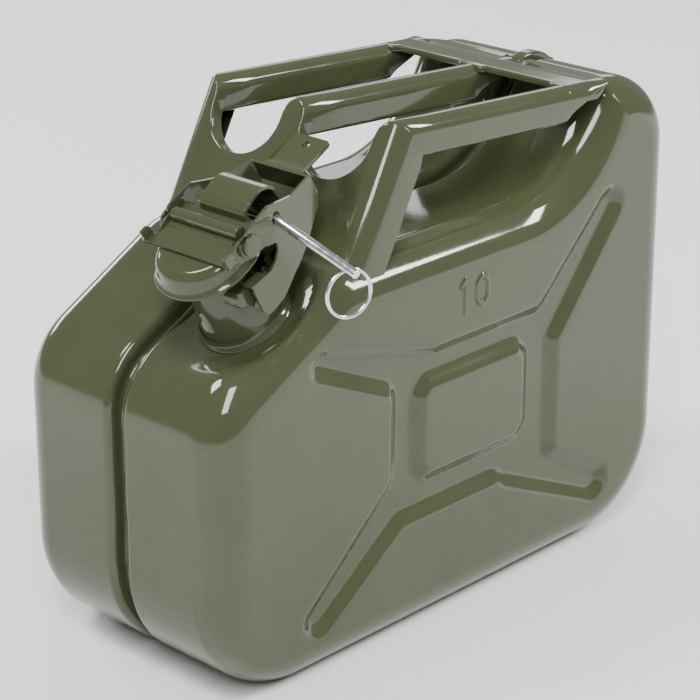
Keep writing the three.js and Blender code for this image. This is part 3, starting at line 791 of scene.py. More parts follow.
@dataclass
class BodyShape:
    """The can's side outline and cross section."""

    length: float = 345.0
    width: float = 148.0
    hump_top: float = 261.0
    saddle_top: float = 210.0
    shoulder_deg: float = 29.0
    edge_radius: float = 21.0
    front_foot: float = 57.0
    rear_foot: float = 60.0
    rear_top: float = 40.0
    front_top: float = 43.0
    shoulder_z: float = 136.7
    crest_radius: float = 30.0
    saddle_x: float = 48.0
    saddle_radius: float = 73.0
    hump_edge: float = 9.0
    groove_half: float = 5.0
    groove_depth: float = 9.0
    groove_lip: float = 4.4
    groove_corner: float = 3.0

    def outline(self, d: float) -> np.ndarray:
        """The side outline set in by d, with the same number of points for every d.

        Args:
            d: Inset.

        Returns:
            Points as rows of (x, z), anticlockwise seen from -Y.
        """
        half = self.length / 2
        slope = math.radians(self.shoulder_deg)
        lean = 90 + self.shoulder_deg
        shoulder_x = -half + self.front_top
        slope_x = shoulder_x + self.front_top * math.cos(math.radians(lean))
        slope_z = self.shoulder_z + self.front_top * math.sin(math.radians(lean))
        corner_x = slope_x + (self.saddle_top - slope_z) / math.tan(slope)
        crest_x = corner_x + self.crest_radius * math.tan(slope / 2)
        crest_z = self.saddle_top - self.crest_radius
        edge = max(self.hump_edge - d, 0.3)
        edge_z = self.hump_top - d - edge
        saddle_z = self.saddle_top + self.saddle_radius
        reach = self.saddle_radius + d + edge
        edge_x = self.saddle_x + math.sqrt(reach**2 - (saddle_z - edge_z) ** 2)
        rise = math.degrees(math.atan2(edge_x - self.saddle_x, saddle_z - edge_z))
        arcs = [
            arc(-half + self.front_foot, self.front_foot, self.front_foot - d, 180, 270, 30),
            arc(half - self.rear_foot, self.rear_foot, self.rear_foot - d, 270, 360, 30),
            arc(half - self.rear_top, self.hump_top - self.rear_top, self.rear_top - d, 0, 90, 27),
            arc(edge_x, edge_z, edge, 90, 90 + rise, 15),
            arc(self.saddle_x, saddle_z, self.saddle_radius + d, 269 + rise, 270, 30),
            arc(crest_x, crest_z, self.crest_radius - d, 90, lean, 12),
            arc(shoulder_x, self.shoulder_z, self.front_top - d, lean, 180, 24),
        ]
        points: list[Point] = []
        straights = [50, 22, 18, 1, 24, 24, 22]  # pieces in the straight after each arc
        for i, part in enumerate(arcs):
            points += part
            (x0, z0), (x1, z1) = part[-1], arcs[(i + 1) % len(arcs)][0]
            for k in range(1, straights[i]):
                t = k / straights[i]
                points.append((x0 + (x1 - x0) * t, z0 + (z1 - z0) * t))
        return np.array(points)

    def section(self) -> list[tuple[float, float, float, float]]:
        """The cross section from the seam out to the flat side.

        Returns:
            Rows of (inset, y, outward part of the normal, y part of the normal).
        """
        deep, lip, inner = self.groove_depth, self.groove_lip, self.groove_corner
        rows: list[tuple[float, float, float, float]] = []
        wall = self.groove_half - 1.0
        for k in range(5):
            a = math.radians(90 * k / 4)
            y = wall - inner + inner * math.sin(a)
            rows.append((deep - inner * (1 - math.cos(a)), y, math.cos(a), -math.sin(a)))
        for k in range(1, 4):
            t = k / 4
            rows.append((deep - inner + (lip - deep + inner) * t, wall + t * 0.4, 0.05, -1.0))
        for k in range(8):
            a = math.radians(90 * k / 7)
            y = wall + 0.4 + lip * (1 - math.cos(a))
            rows.append((lip - lip * math.sin(a), y, math.sin(a), -math.cos(a)))
        start, stop = wall + 0.4 + lip, self.width / 2 - self.edge_radius
        for k in range(1, 17):
            rows.append((0.0, start + (stop - start) * k / 16, 1.0, 0.0))
        for k in range(1, 15):
            a = math.radians(90 * k / 14)
            r = self.edge_radius
            rows.append((r * (1 - math.cos(a)), stop + r * math.sin(a), math.cos(a), math.sin(a)))
        return rows


def distance_to(points: np.ndarray, outline: np.ndarray, closed: bool = True) -> np.ndarray:
    """Signed distance from points to an outline, negative inside it.

    Args:
        points: Rows of (x, z).
        outline: The outline's corners.
        closed: False gives the plain distance to an open line.

    Returns:
        One distance for each point.
    """
    best = np.full(len(points), 1e9)
    inside = np.zeros(len(points), bool)
    count = len(outline)
    for i in range(count if closed else count - 1):
        a, b = outline[i], outline[(i + 1) % count]
        ab = b - a
        t = np.clip(((points - a) @ ab) / max(ab @ ab, 1e-12), 0, 1)
        best = np.minimum(best, np.linalg.norm(points - a - t[:, None] * ab, axis=1))
        crosses = (a[1] > points[:, 1]) != (b[1] > points[:, 1])
        if closed and abs(ab[1]) > 1e-12:
            at = a[0] + (points[:, 1] - a[1]) / ab[1] * ab[0]
            inside ^= crosses & (points[:, 0] < at)
    return np.where(inside, -best, best) if closed else best


@dataclass
class Pressing:
    """The stiffening pressing in a broad side, and the raised capacity numerals above it."""

    depth: float = 4.6
    wall: float = 10.5
    numeral_height: float = 1.0
    numeral_stroke: float = 2.7
    numeral_edge: float = 1.5
    frame: list[Point] = field(
        default_factory=lambda: [
            (-51, 139), (-110, 166), (-103, 174), (-19, 152.5), (61, 152.5), (117, 206),
            (127, 197), (72.5, 132), (72.5, 66), (122, 38), (114, 26), (36, 61.5), (28, 66.5),
            (-46, 66.5), (-106, 24), (-117, 33), (-52, 90),
        ]
    )
    panel: list[Point] = field(
        default_factory=lambda: [
            (-33, 91), (-26, 84), (44, 84), (51, 91), (51, 130), (44, 137), (-26, 137),
            (-33, 130),
        ]
    )

    def contours(self) -> tuple[np.ndarray, np.ndarray]:
        """The rounded outlines of the frame and of its middle panel.

        Returns:
            Both outlines.
        """
        return np.array(rounded(self.frame, 9, 6)), np.array(rounded(self.panel, 6, 4))

    def numerals(self) -> list[np.ndarray]:
        """Centre lines of a one and a nought.

        Returns:
            One line of points for each stroke.
        """
        one = np.array([(-3.6, 181.8), (-0.4, 185.0), (-0.4, 167.6)])
        loop = [(8.6, 172), (8.6, 180.6), (12.8, 185), (17, 180.6), (17, 172), (12.8, 167.6)]
        nought = np.array(rounded(loop, 5, 6))
        return [one, np.vstack([nought, nought[:1]])]

    def recess(self, points: np.ndarray, numerals: bool) -> np.ndarray:
        """How far the side is pressed in.

        Args:
            points: Rows of (x, z).
            numerals: True on the side that carries the numerals.

        Returns:
            Depth in millimetres, negative where the side is raised.
        """
        outer, panel = self.contours()
        inside = np.maximum(distance_to(points, outer), -distance_to(points, panel))
        depth = self.depth * eased(0.5 - inside / self.wall)
        if numerals:
            for line in self.numerals():
                gap = distance_to(points, line, closed=False) - self.numeral_stroke / 2
                depth -= self.numeral_height * eased(0.5 - gap / self.numeral_edge)
        return depth

    def sample_points(self) -> np.ndarray:
        """Points that follow the pressing's walls and the numerals.

        Returns:
            Rows of (x, z).
        """
        made = []
        for outline in self.contours():
            closed = np.vstack([outline, outline[:1]])
            along = np.r_[0, np.cumsum(np.linalg.norm(np.diff(closed, axis=0), axis=1))]
            at = np.linspace(0, along[-1], int(along[-1] / 2.0), endpoint=False)
            line = np.column_stack([np.interp(at, along, closed[:, k]) for k in (0, 1)])
            ahead = np.roll(line, -1, 0) - np.roll(line, 1, 0)
            side = np.column_stack([ahead[:, 1], -ahead[:, 0]])
            side /= np.linalg.norm(side, axis=1)[:, None]
            made += [line + side * self.wall * s for s in np.linspace(-0.56, 0.56, 9)]
        x, z = np.meshgrid(np.arange(-8.5, 21.5, 0.6), np.arange(164.5, 188.5, 0.6))
        made.append(np.column_stack([x.ravel(), z.ravel()]))
        return np.vstack(made)


@dataclass
class BodyHalf(Assembly):
    """One pressed half of the body, from the weld groove out to its flat side."""

    side: int
    shape: BodyShape = field(default_factory=BodyShape)
    pressing: Pressing = field(default_factory=Pressing)
    grid: float = 4.0
    dish_inner: float = 25.5
    dish_slope: float = 0.5
    dish_blend: float = 2.2
    lip_waves: tuple[Point, ...] = ((0.42, 17.3), (0.3, 7.9))

    def build(self) -> None:
        """Builds the half."""
        rim, rim_normals, faces = self._rim()
        flat, flat_normals, flat_faces = self._flat(len(rim), rim)
        points = np.vstack([rim, flat])
        normals = np.vstack([rim_normals, flat_normals])
        faces += flat_faces
        name = "left"
        if self.side < 0:
            name = "right"
            points, normals = self._dish(points, normals)
            faces = [tuple(reversed(f)) for f in faces]
        points[:, 1] *= self.side
        normals[:, 1] *= self.side
        self.add(f"{name}_body_pressing", (points, faces), f"{name}_body_half", normals=normals)

    def _rim(self) -> tuple[np.ndarray, np.ndarray, Faces]:
        """The groove, the ends, top and bottom, and the rounded edge, built towards +Y.

        Returns:
            Points, normals and faces.
        """
        base = self.shape.outline(0)
        n = len(base)
        way = np.roll(base, -1, 0) - np.roll(base, 1, 0)
        way /= np.linalg.norm(way, axis=1)[:, None]
        out = np.column_stack([way[:, 1], -way[:, 0]])
        # The groove's lips are a little uneven, as the halves were squeezed for welding.
        along = np.cumsum(np.linalg.norm(np.roll(base, -1, 0) - base, axis=1))
        phase = 0.0 if self.side < 0 else 2.1
        sway, slope = np.zeros(n), np.zeros(n)
        for count, (size, length) in enumerate(self.lip_waves, 1):
            sway += size * np.sin(along / length + count * phase)
            slope += size / length * np.cos(along / length + count * phase)
        points, normals = [], []
        section = self.shape.section()
        for d, y, a, b in section:
            ring = self.shape.outline(d)
            share = float(np.clip((11.0 - y) / 7.0, 0, 1) * np.clip((y - 0.5) / 2.5, 0, 1))
            points.append(np.column_stack([ring[:, 0], y + sway * share, ring[:, 1]]))
            bent = out * a - way * (b * slope * share)[:, None]
            normals.append(np.column_stack([bent[:, 0], np.full(n, b), bent[:, 1]]))
        made = np.vstack(normals)
        made /= np.linalg.norm(made, axis=1)[:, None]
        return np.vstack(points), made, lofted(len(section), n, flip=True)

    def _flat(self, base: int, rim: np.ndarray) -> tuple[np.ndarray, np.ndarray, Faces]:
        """The flat side with its pressing, meshed inside the rounded edge.

        Args:
            base: Number of points before these.
            rim: The rim's points, whose last ring bounds the flat.

        Returns:
            Points, normals and faces.
        """
        n = len(self.shape.outline(0))
        ring = rim[-n:][:, [0, 2]]
        low, high = ring.min(0), ring.max(0)
        x, z = np.meshgrid(*(np.arange(low[k], high[k], self.grid) for k in (0, 1)))
        free = np.column_stack([x.ravel(), z.ravel()])
        detail = self.pressing.sample_points()
        walls = [distance_to(free, c) for c in self.pressing.contours()]
        near = np.minimum(np.abs(walls[0]), np.abs(walls[1])) < self.pressing.wall * 0.6 + 1.0
        numerals = (free[:, 0] > -9) & (free[:, 0] < 22) & (free[:, 1] > 164) & (free[:, 1] < 189)
        free = np.vstack([free[~near & ~numerals], detail])
        free = free[distance_to(free, ring) < -1.6]
        cloud = [Vector(p) for p in np.vstack([ring, free]).tolist()]
        edges = [(i, (i + 1) % n) for i in range(n)]
        verts, _, faces, *_ = delaunay_2d_cdt(cloud, edges, [], 1, 1e-4)
        xz = np.array([tuple(v) for v in verts])
        numbered = self.side < 0
        step = 0.05
        ddx, ddz = (
            (self.pressing.recess(xz + way, numbered) - self.pressing.recess(xz - way, numbered))
            / (2 * step)
            for way in ([step, 0], [0, step])
        )
        y = self.shape.width / 2 - self.pressing.recess(xz, numbered)
        points = np.column_stack([xz[:, 0], y, xz[:, 1]])
        normals = np.column_stack([ddx, np.ones(len(xz)), ddz])
        normals /= np.linalg.norm(normals, axis=1)[:, None]
        made = []
        for face in faces:
            a, b, c = (xz[v] for v in face[:3])
            turn = (b[0] - a[0]) * (c[1] - a[1]) - (b[1] - a[1]) * (c[0] - a[0])
            order = tuple(face) if turn < 0 else tuple(reversed(face))
            made.append(tuple(base + v for v in order))
        return points, normals, made

    def _dish(self, points: np.ndarray, normals: np.ndarray) -> tuple[np.ndarray, np.ndarray]:
        """Presses the shallow dish that the neck stands in.

        Args:
            points: The half's points, built towards +Y.
            normals: Their normals.

        Returns:
            Points and normals with the dish in them.
        """
        turn = np.array(NECK_FRAME.to_3x3())
        mirror = np.array([1, -1, 1])
        foot = np.array(NECK_FRAME.translation) * mirror
        turn = turn * np.outer(mirror, mirror)
        local = (points - foot) @ turn
        radius = np.hypot(local[:, 0], local[:, 1])
        near = (radius < 60) & (local[:, 2] > -14) & (local[:, 2] < 30)

        def floor(r: np.ndarray) -> np.ndarray:
            """Height of the dish's surface.

            Args:
                r: Distance from the neck's axis.

            Returns:
                The height along the neck.
            """
            over = np.clip(r - self.dish_inner, 0, None)
            return -0.6 + self.dish_slope * np.where(over < 8, over**2 / 16, over - 4)

        bottom = floor(radius)
        blend = self.dish_blend
        height = local[:, 2]
        mix = np.clip(0.5 + 0.5 * (bottom - height) / blend, 0, 1)
        lowered = bottom * (1 - mix) + height * mix - blend * mix * (1 - mix)
        local[near, 2] = lowered[near]
        step = 0.05
        slope = (floor(radius + step) - floor(radius - step)) / (2 * step)
        r = np.maximum(radius, 1e-6)
        dish = np.column_stack([-slope * local[:, 0] / r, -slope * local[:, 1] / r, np.ones(len(r))])
        dish /= np.linalg.norm(dish, axis=1)[:, None]
        local_normals = normals @ turn
        local_normals /= np.linalg.norm(local_normals, axis=1)[:, None]
        bent = dish * (1 - mix)[:, None] + local_normals * mix[:, None]
        local_normals[near] = bent[near]
        local_normals /= np.linalg.norm(local_normals, axis=1)[:, None]
        return local @ turn.T + foot, local_normals @ turn.T


@dataclass
class SeamWeld(Assembly):
    """The crimped and welded seam in the bottom of the groove, slightly uneven like a hand-fed
    seam weld."""

    shape: BodyShape = field(default_factory=BodyShape)
    height: float = 3.4
    half: float = 1.5

    def build(self) -> None:
        """Builds the seam."""
        # Each point of the section is a share of the height and a share of the half width.
        profile = [(0.0, -1.6), (0.0, -1.2), (0.55, -1.0), (0.9, -0.6), (1.0, 0.0)]
        profile += [(h, -y) for h, y in reversed(profile[:-1])]
        base = self.shape.outline(0)
        along = np.cumsum(np.linalg.norm(np.roll(base, -1, 0) - base, axis=1))
        wave = 1 + 0.049 * np.sin(along / 7.1) + 0.035 * np.sin(along / 3.3 + 1.3)
        sway = 0.3 * np.sin(along / 17.0)
        foot = self.shape.outline(self.shape.groove_depth)
        rings = []
        for share, y in profile:
            rise = self.shape.outline(self.shape.groove_depth - share * self.height) - foot
            x, z = (foot + rise * wave[:, None]).T
            rings.append(np.column_stack([x, y * self.half + sway, z]))
        faces = lofted(len(profile), len(base))
        self.add("seam_bead", (np.vstack(rings), faces), "seam_weld", sharp=60)


# ---- Handle -------------------------------------------------------------------------------


@dataclass
class Handle(Assembly):
    """The three-bar handle: channel bars, a front plate with fingers, a rear plate."""

    pitch: float = 62.5
    width: float = 15.0
    height: float = 19.0
    top: float = 274.5
    fall: float = 0.062
    sheet: float = 1.8
    roll: float = 14.0
    flange: float = 24.0
    lip: float = 8.0
    scallop: float = 23.6
    proud: float = 0.06
    foot_x: float = -79.0
    top_x: float = -44.5
    foot_z: float = 210.0
    rear_x: float = 88.0
    rear_end: float = 127.5
    rear_thick: float = 3.2
    shape: BodyShape = field(default_factory=BodyShape)

    def crest(self, x: float) -> float:
        """Height of the bars' crest line.

        Args:
            x: Place along the can.

        Returns:
            Height above the floor.
        """
        return self.top - self.fall * (x - self.top_x)

    @property
    def lean(self) -> float:
        """The front plate's lean from upright, in radians."""
        return math.atan2(self.top_x - self.foot_x, self.top - self.foot_z)

    @property
    def rise(self) -> float:
        """The front plate's height along its own slope."""
        return math.hypot(self.top_x - self.foot_x, self.top - self.foot_z)

    @property
    def flat(self) -> float:
        """Half the front plate's flat face, out to where its sides start to bend."""
        return self.pitch + self.width / 2 - self.roll

    @property
    def bent(self) -> float:
        """Where the side bends end, across the flat sheet."""
        return self.flat + self.roll * math.pi / 2

    def build(self) -> None:
        """Builds the bars, both plates and the seam cover."""
        for name, y in (("left", self.pitch), ("middle", 0.0), ("right", -self.pitch)):
            self._bar(name, y)
        self._front_plate()
        self._rear_plate()
        self._seam_cover()

    def _height_at(self, depth: float, drop: float) -> float:
        """Height along the front plate of a point on or under the crest line.

        Args:
            depth: How far behind the plate's face the point is.
            drop: How far under the crest it is.

        Returns:
            Height along the plate.
        """
        sin, cos = math.sin(self.lean), math.cos(self.lean)
        return self.rise + (depth * (sin - self.fall * cos) - drop) / (cos + self.fall * sin)

    def _on_plate(self, y: float, depth: float, t: float) -> Place:
        """Turns a place on the front plate into one in the can's axes.

        Args:
            y: Across the can.
            depth: Behind the plate's face.
            t: Height along the plate.

        Returns:
            The place.
        """
        sin, cos = math.sin(self.lean), math.cos(self.lean)
        return self.foot_x + t * sin + depth * cos, y, self.foot_z + t * cos - depth * sin

    def _hump(self, x: float) -> float:
        """Height of the hump's front under the bars.

        Args:
            x: Place along the can.

        Returns:
            Height of the body there.
        """
        rows = [(78, 240), (84.7, 249.0), (93, 253.2), (101, 257.2), (109, 260.8), (116, 262.6)]
        return float(np.interp(x, [r[0] for r in rows], [r[1] for r in rows]))

    def _section(self, x: float) -> list[Point]:
        """A bar's section at x as (across, height) points.

        Args:
            x: Place along the can.

        Returns:
            The closed section.
        """
        r = self.width / 2
        top = self.crest(x)
        low = max(top - self.height, self._hump(x)) if x > 78 else top - self.height
        low = min(low, top - 2.2)
        spring = max(top - r, low + 0.6)
        crown = [
            (r * math.cos(math.radians(a)), spring + (top - spring) * math.sin(math.radians(a)))
            for a in np.linspace(0, 180, 25)
        ]
        corner = min(3.0, (spring - low) * 0.45)
        left = arc(corner - r, low + corner, corner, 180, 270, 4)
        right = [(-a, z) for a, z in reversed(left)]
        return crown + left + right

    def _bar(self, name: str, y: float) -> None:
        """Builds one bar as a loft whose front end lies in the front plate.

        Args:
            name: Which bar.
            y: Its middle across the can.
        """
        rings = []
        # The front end starts inside the plate's rounded edge and grows to the full section.
        for start, shrink in ((0.2, 1.6), (0.5, 0.8), (1.0, 0.3), (1.8, 0.0)):
            for full, z in self._section(-30):
                across = y + full * (1 - shrink / (self.width / 2))
                over = max(abs(across) - self.flat, 0.0)
                depth = start + self.roll - math.sqrt(max(self.roll**2 - over**2, 0.0))
                t = self._height_at(depth, self.crest(-30) - z + shrink)
                rings.append(self._on_plate(across, depth, t))
        for x in (-20, 10, 40, 66, *np.linspace(78, 116, 14)):
            section = self._section(float(x))
            rings += [(float(x), y + a, z) for a, z in section]
        n = len(section)
        rows = len(rings) // n
        caps = [tuple(range(n)), tuple(range((rows - 1) * n, rows * n))]
        solid = np.array(rings), lofted(rows, n) + caps
        self.add(f"handle_channel_{name}", solid, f"handle_bar_{name}", sharp=50)

    def _top_of(self, s: float) -> float:
        """Top of the front plate's outline where it is flush with a bar.

        Args:
            s: Place across the flat sheet, before its sides are bent.

        Returns:
            Height along the plate.
        """
        y, depth = abs(s), 0.0
        if y > self.flat:
            turn = min((y - self.flat) / self.roll, math.pi / 2)
            y, depth = self.flat + self.roll * math.sin(turn), self.roll * (1 - math.cos(turn))
        across = y - self.pitch if y > self.pitch / 2 else y
        r = self.width / 2
        return self._height_at(depth, r - math.sqrt(max(r * r - across * across, 0.0)))

    def _outline(self) -> list[Point]:
        """The front plate's flat outline as (across, height along the plate).

        Returns:
            The closed outline.
        """
        end = self.bent + self.flange - self.roll
        r = self.width / 2
        root = self.rise - r
        half = [(float(s), self._top_of(float(s))) for s in np.linspace(0, r, 9)]
        half += arc(self.pitch / 2, root - 4, self.scallop, 180, 360, 24)
        for s in np.linspace(self.pitch - r, self.bent - 2.0, 22):
            half.append((float(s), self._top_of(float(s)) - 0.05))
        half += [(self.bent, root + 1.0), (end - 0.5, root - 1.0), (end, root - 3.0), (end, -9.0)]
        half += [(self.bent, -9.0), (self.bent - 7, -4.0), (self.bent - 12, -1.5)]
        half += [(self.flat - 14, -0.6)]
        return half + [(-s, t) for s, t in reversed(half[1:])]

    def _front_plate(self) -> None:
        """Builds the front plate flat, cuts it along the bends and folds its sides back."""
        work = bmesh.new()
        face = work.faces.new([work.verts.new((s, 0.0, t)) for s, t in self._outline()])
        grown = bmesh.ops.extrude_face_region(work, geom=[face])["geom"]
        rear = next(g for g in grown if isinstance(g, bmesh.types.BMFace))
        for vert in rear.verts:
            vert.co.y = self.lip
        bmesh.ops.recalc_face_normals(work, faces=work.faces)
        bmesh.ops.inset_region(work, faces=[rear], thickness=self.sheet, depth=0.0)
        for vert in rear.verts:
            vert.co.y = self.sheet
        edges = [
            e
            for e in work.edges
            if all(abs(v.co.y) < 1e-6 for v in e.verts) and min(v.co.z for v in e.verts) > 20
        ]
        bmesh.ops.bevel(work, geom=edges, offset=1.6, segments=4, affect="EDGES", profile=0.5)
        flat, bent = self.flat, self.bent
        for sign in (-1, 1):
            for k in range(9):
                sliced(work, 0, sign * (flat + (bent - flat) * k / 8))
        for vert in work.verts:
            s, depth, t = vert.co
            y, back = abs(s), depth
            if y > flat:
                turn = min((y - flat) / self.roll, math.pi / 2)
                back = self.roll - (self.roll - depth) * math.cos(turn) + max(y - bent, 0)
                y = flat - self.proud + (self.roll - depth) * math.sin(turn)
            vert.co = self._on_plate(math.copysign(y, s), back, t)
        self.add("handle_front_pressing", taken(work), "handle_front_plate", sharp=38)

    def _rear_plate(self) -> None:
        """Builds the rear plate flat, then lays it along the bars' crest and onto the hump."""
        half = self.pitch + self.width / 2 - 0.15
        r = self.width / 2
        x0, x1 = self.rear_x - 3, self.rear_end
        notch = arc(x0 + 3, r - 1, 3, 180, 90, 3)
        side = [(x0, 0.0), (x0, r - 1), *notch, (x0 + 3, self.pitch - r - 2)]
        side += [(x0, self.pitch - r + 1), (x0, half), *arc(x1 - 20, half - 20, 20, 90, 0, 10)]
        side += [(x1, 7.5), (x1 - 10, 5.5), (x1 - 15, 2.0), (x1 - 16, 0.0)]
        outline = side + [(x, -y) for x, y in reversed(side[1:-1])]
        work = bmesh.new()
        face = work.faces.new([work.verts.new((x, y, 0.0)) for x, y in outline])
        for item in bmesh.ops.extrude_face_region(work, geom=[face])["geom"]:
            if isinstance(item, bmesh.types.BMVert):
                item.co.z = -self.rear_thick
        bmesh.ops.recalc_face_normals(work, faces=work.faces)
        edges = [e for e in work.edges if all(abs(v.co.z) < 1e-6 for v in e.verts)]
        bmesh.ops.bevel(work, geom=edges, offset=1.5, segments=4, affect="EDGES", profile=0.5)
        for k in range(20):
            sliced(work, 0, x0 + (x1 - x0) * (k + 0.5) / 20)
        for k in range(16):
            for sign in (-1, 1):
                sliced(work, 1, sign * (half - r * (1 - math.cos(math.radians(90 * k / 16)))))
        lap = self.shape.hump_top + 1.5
        for vert in work.verts:
            x, y, z = vert.co
            ease = eased((x - 106) / 16)
            across = max(abs(y) - self.pitch, 0.0)
            round_off = r - math.sqrt(max(r * r - across * across, 0.0))
            level = self.crest(x) * (1 - ease) + lap * ease
            vert.co.z = level + z * (1 - 0.45 * ease) - round_off * (1 - ease) * 0.98 + 0.05
        self.add("handle_rear_pressing", taken(work), "handle_rear_plate", sharp=38)

    def _seam_cover(self) -> None:
        """Builds the domed cover over the seam behind the handle."""
        outline = [(121, 254.6), (153.6, 254.6), (153, 257.4), *arc(134, 240.4, 24.0, 50, 118, 14)]
        solid = slab(outline, -3.9, 3.9)
        self.add("seam_end_cover", solid, "seam_cover", bevel=2.0, segments=5)


# ---- Neck and closure ---------------------------------------------------------------------


def span(side: int, near: float, far: float) -> tuple[float, float]:
    """A span across the can on one side of the neck's axis.

    Args:
        side: +1 for the left, -1 for the right.
        near: The end nearer the axis.
        far: The end further out.

    Returns:
        The low and the high end.
    """
    return (near, far) if side > 0 else (-far, -near)


@dataclass
class Neck(NeckAssembly):
    """The pouring neck with its weld fillet, claw lugs, hinge bracket and vent pipe."""

    foot_r: float = 22.3
    bore: float = 17.2
    height: float = 44.0
    hinge: Point = (33.5, 38.8)
    vent_r: float = 3.4
    vent_y: float = NECK_FOOT[1]

    def build(self) -> None:
        """Builds the neck's pieces."""
        inner = self.bore - 1.6
        tube = [
            (self.foot_r, 0.3), (self.foot_r - 1.0, 5), (self.bore + 0.35, 29),
            (self.bore, 31), (self.bore, 39.5),
            *arc(self.bore + 0.6, self.height - 2, 1.9, -60, 150, 12),
            (inner, 40), (inner, 31), (18.2, 4), (18.2, 0.3),
        ]
        self.add("neck_tube_drawn", turned(tube, 96, True), "neck_tube", sharp=35)
        fillet = [(22.0, 0.3), (24.6, -0.3), (24.2, 0.4), (23.2, 1.2), (22.4, 2.4), (21.9, 4.2)]
        self.add("neck_weld_fillet", turned(fillet, 96), "neck_foot_ring", sharp=80)
        lug = [(-4.2, 20.3), (0.4, 27.4), (-2.6, 30.4), *arc(-8.2, 27.2, 4.6, 75, 235, 14)]
        for name, side in SIDES.items():
            solid = slab(lug, *span(side, 12.0, 22.3))
            self.add(f"claw_lug_{name}", solid, f"neck_lug_{name}", bevel=0.8)
        self._bracket()
        u, w = self.hinge
        heads = [rod(u, w, 3.1, *span(side, 19.3, 20.6)) for side in (-1, 1)]
        pin = joined([rod(u, w, 2.0, -20.6, 20.6, 0.5), *heads])
        self.add("hinge_pin_riveted", pin, "hinge_pin")
        self._vent_pipe()
        self._vent_clip()

    def _bracket(self) -> None:
        """Builds the U bracket that carries the cap's hinge."""
        u, w = self.hinge
        eye = arc(u, w, 5, -20, 150, 12)
        ear = rounded([(14, 20), (24, 20), (u + 4.4, 35.5), *eye, (20, 31), (14, 31)], 1.5, 3)
        solids = [slab([(17.4, 20), (23.5, 20), (23.5, 31), (17.4, 31)], -19, 19)]
        solids += [slab(ear, *span(side, 17, 19)) for side in (-1, 1)]
        self.add("hinge_bracket_folded", joined(solids), "hinge_bracket", bevel=0.6)

    def _vent_pipe(self) -> None:
        """Builds the vent pipe, seen only through the open neck."""
        path = [NECK_FRAME @ Vector((10.2, 0, w)) for w in (34, 20, 6)]
        for x, z in ((-94, 186), (-66, 196), (-20, 200), (14, 200), (48, 200), (92, 212), (122, 236)):
            path.append(Vector((x, self.vent_y, z)))
        curve = bpy.data.curves.new("vent_path", "CURVE")
        curve.dimensions = "3D"
        curve.bevel_depth = self.vent_r * MM
        curve.bevel_resolution = 6
        curve.use_fill_caps = False
        spline = curve.splines.new("NURBS")
        spline.points.add(len(path) - 1)
        for point, at in zip(spline.points, path):
            point.co = (at.x * MM, (at.y + SEAM_Y) * MM, at.z * MM, 1)
        spline.use_endpoint_u = True
        spline.order_u = 4
        holder = bpy.data.objects.new("vent_path", curve)
        bpy.context.scene.collection.objects.link(holder)
        graph = bpy.context.evaluated_depsgraph_get()
        mesh = bpy.data.meshes.new_from_object(holder.evaluated_get(graph))
        verts = np.array([tuple(v.co) for v in mesh.vertices]) / MM - [0, SEAM_Y, 0]
        faces = [tuple(p.vertices) for p in mesh.polygons]
        bpy.data.objects.remove(holder)
        look = {"slot": Slot.TINNED, "on_neck": False, "sharp": 60}
        self.add("vent_pipe_bent", (verts, faces), "vent_pipe", **look)

    def _vent_clip(self) -> None:
        """Builds the clip that hangs the vent pipe under the saddle."""
        x, z = 14, 200
        band = [(3.8, -3), (4.8, -3), (5, -2.6), (5, 2.6), (4.8, 3), (3.8, 3)]
        verts, faces = turned(band, 32, True)
        collar = verts[:, [2, 0, 1]] + [x, self.vent_y, z]
        hanger = [(x - 2, z + 4.6), (x + 2, z + 4.6), (x + 2, z + 8.4), (x - 2, z + 8.4)]
        post = slab(hanger, self.vent_y - 2, self.vent_y + 2)
        look = {"slot": Slot.TINNED, "on_neck": False}
        self.add("vent_clip_folded", joined([(collar, faces), post]), "vent_pipe_clip", **look)


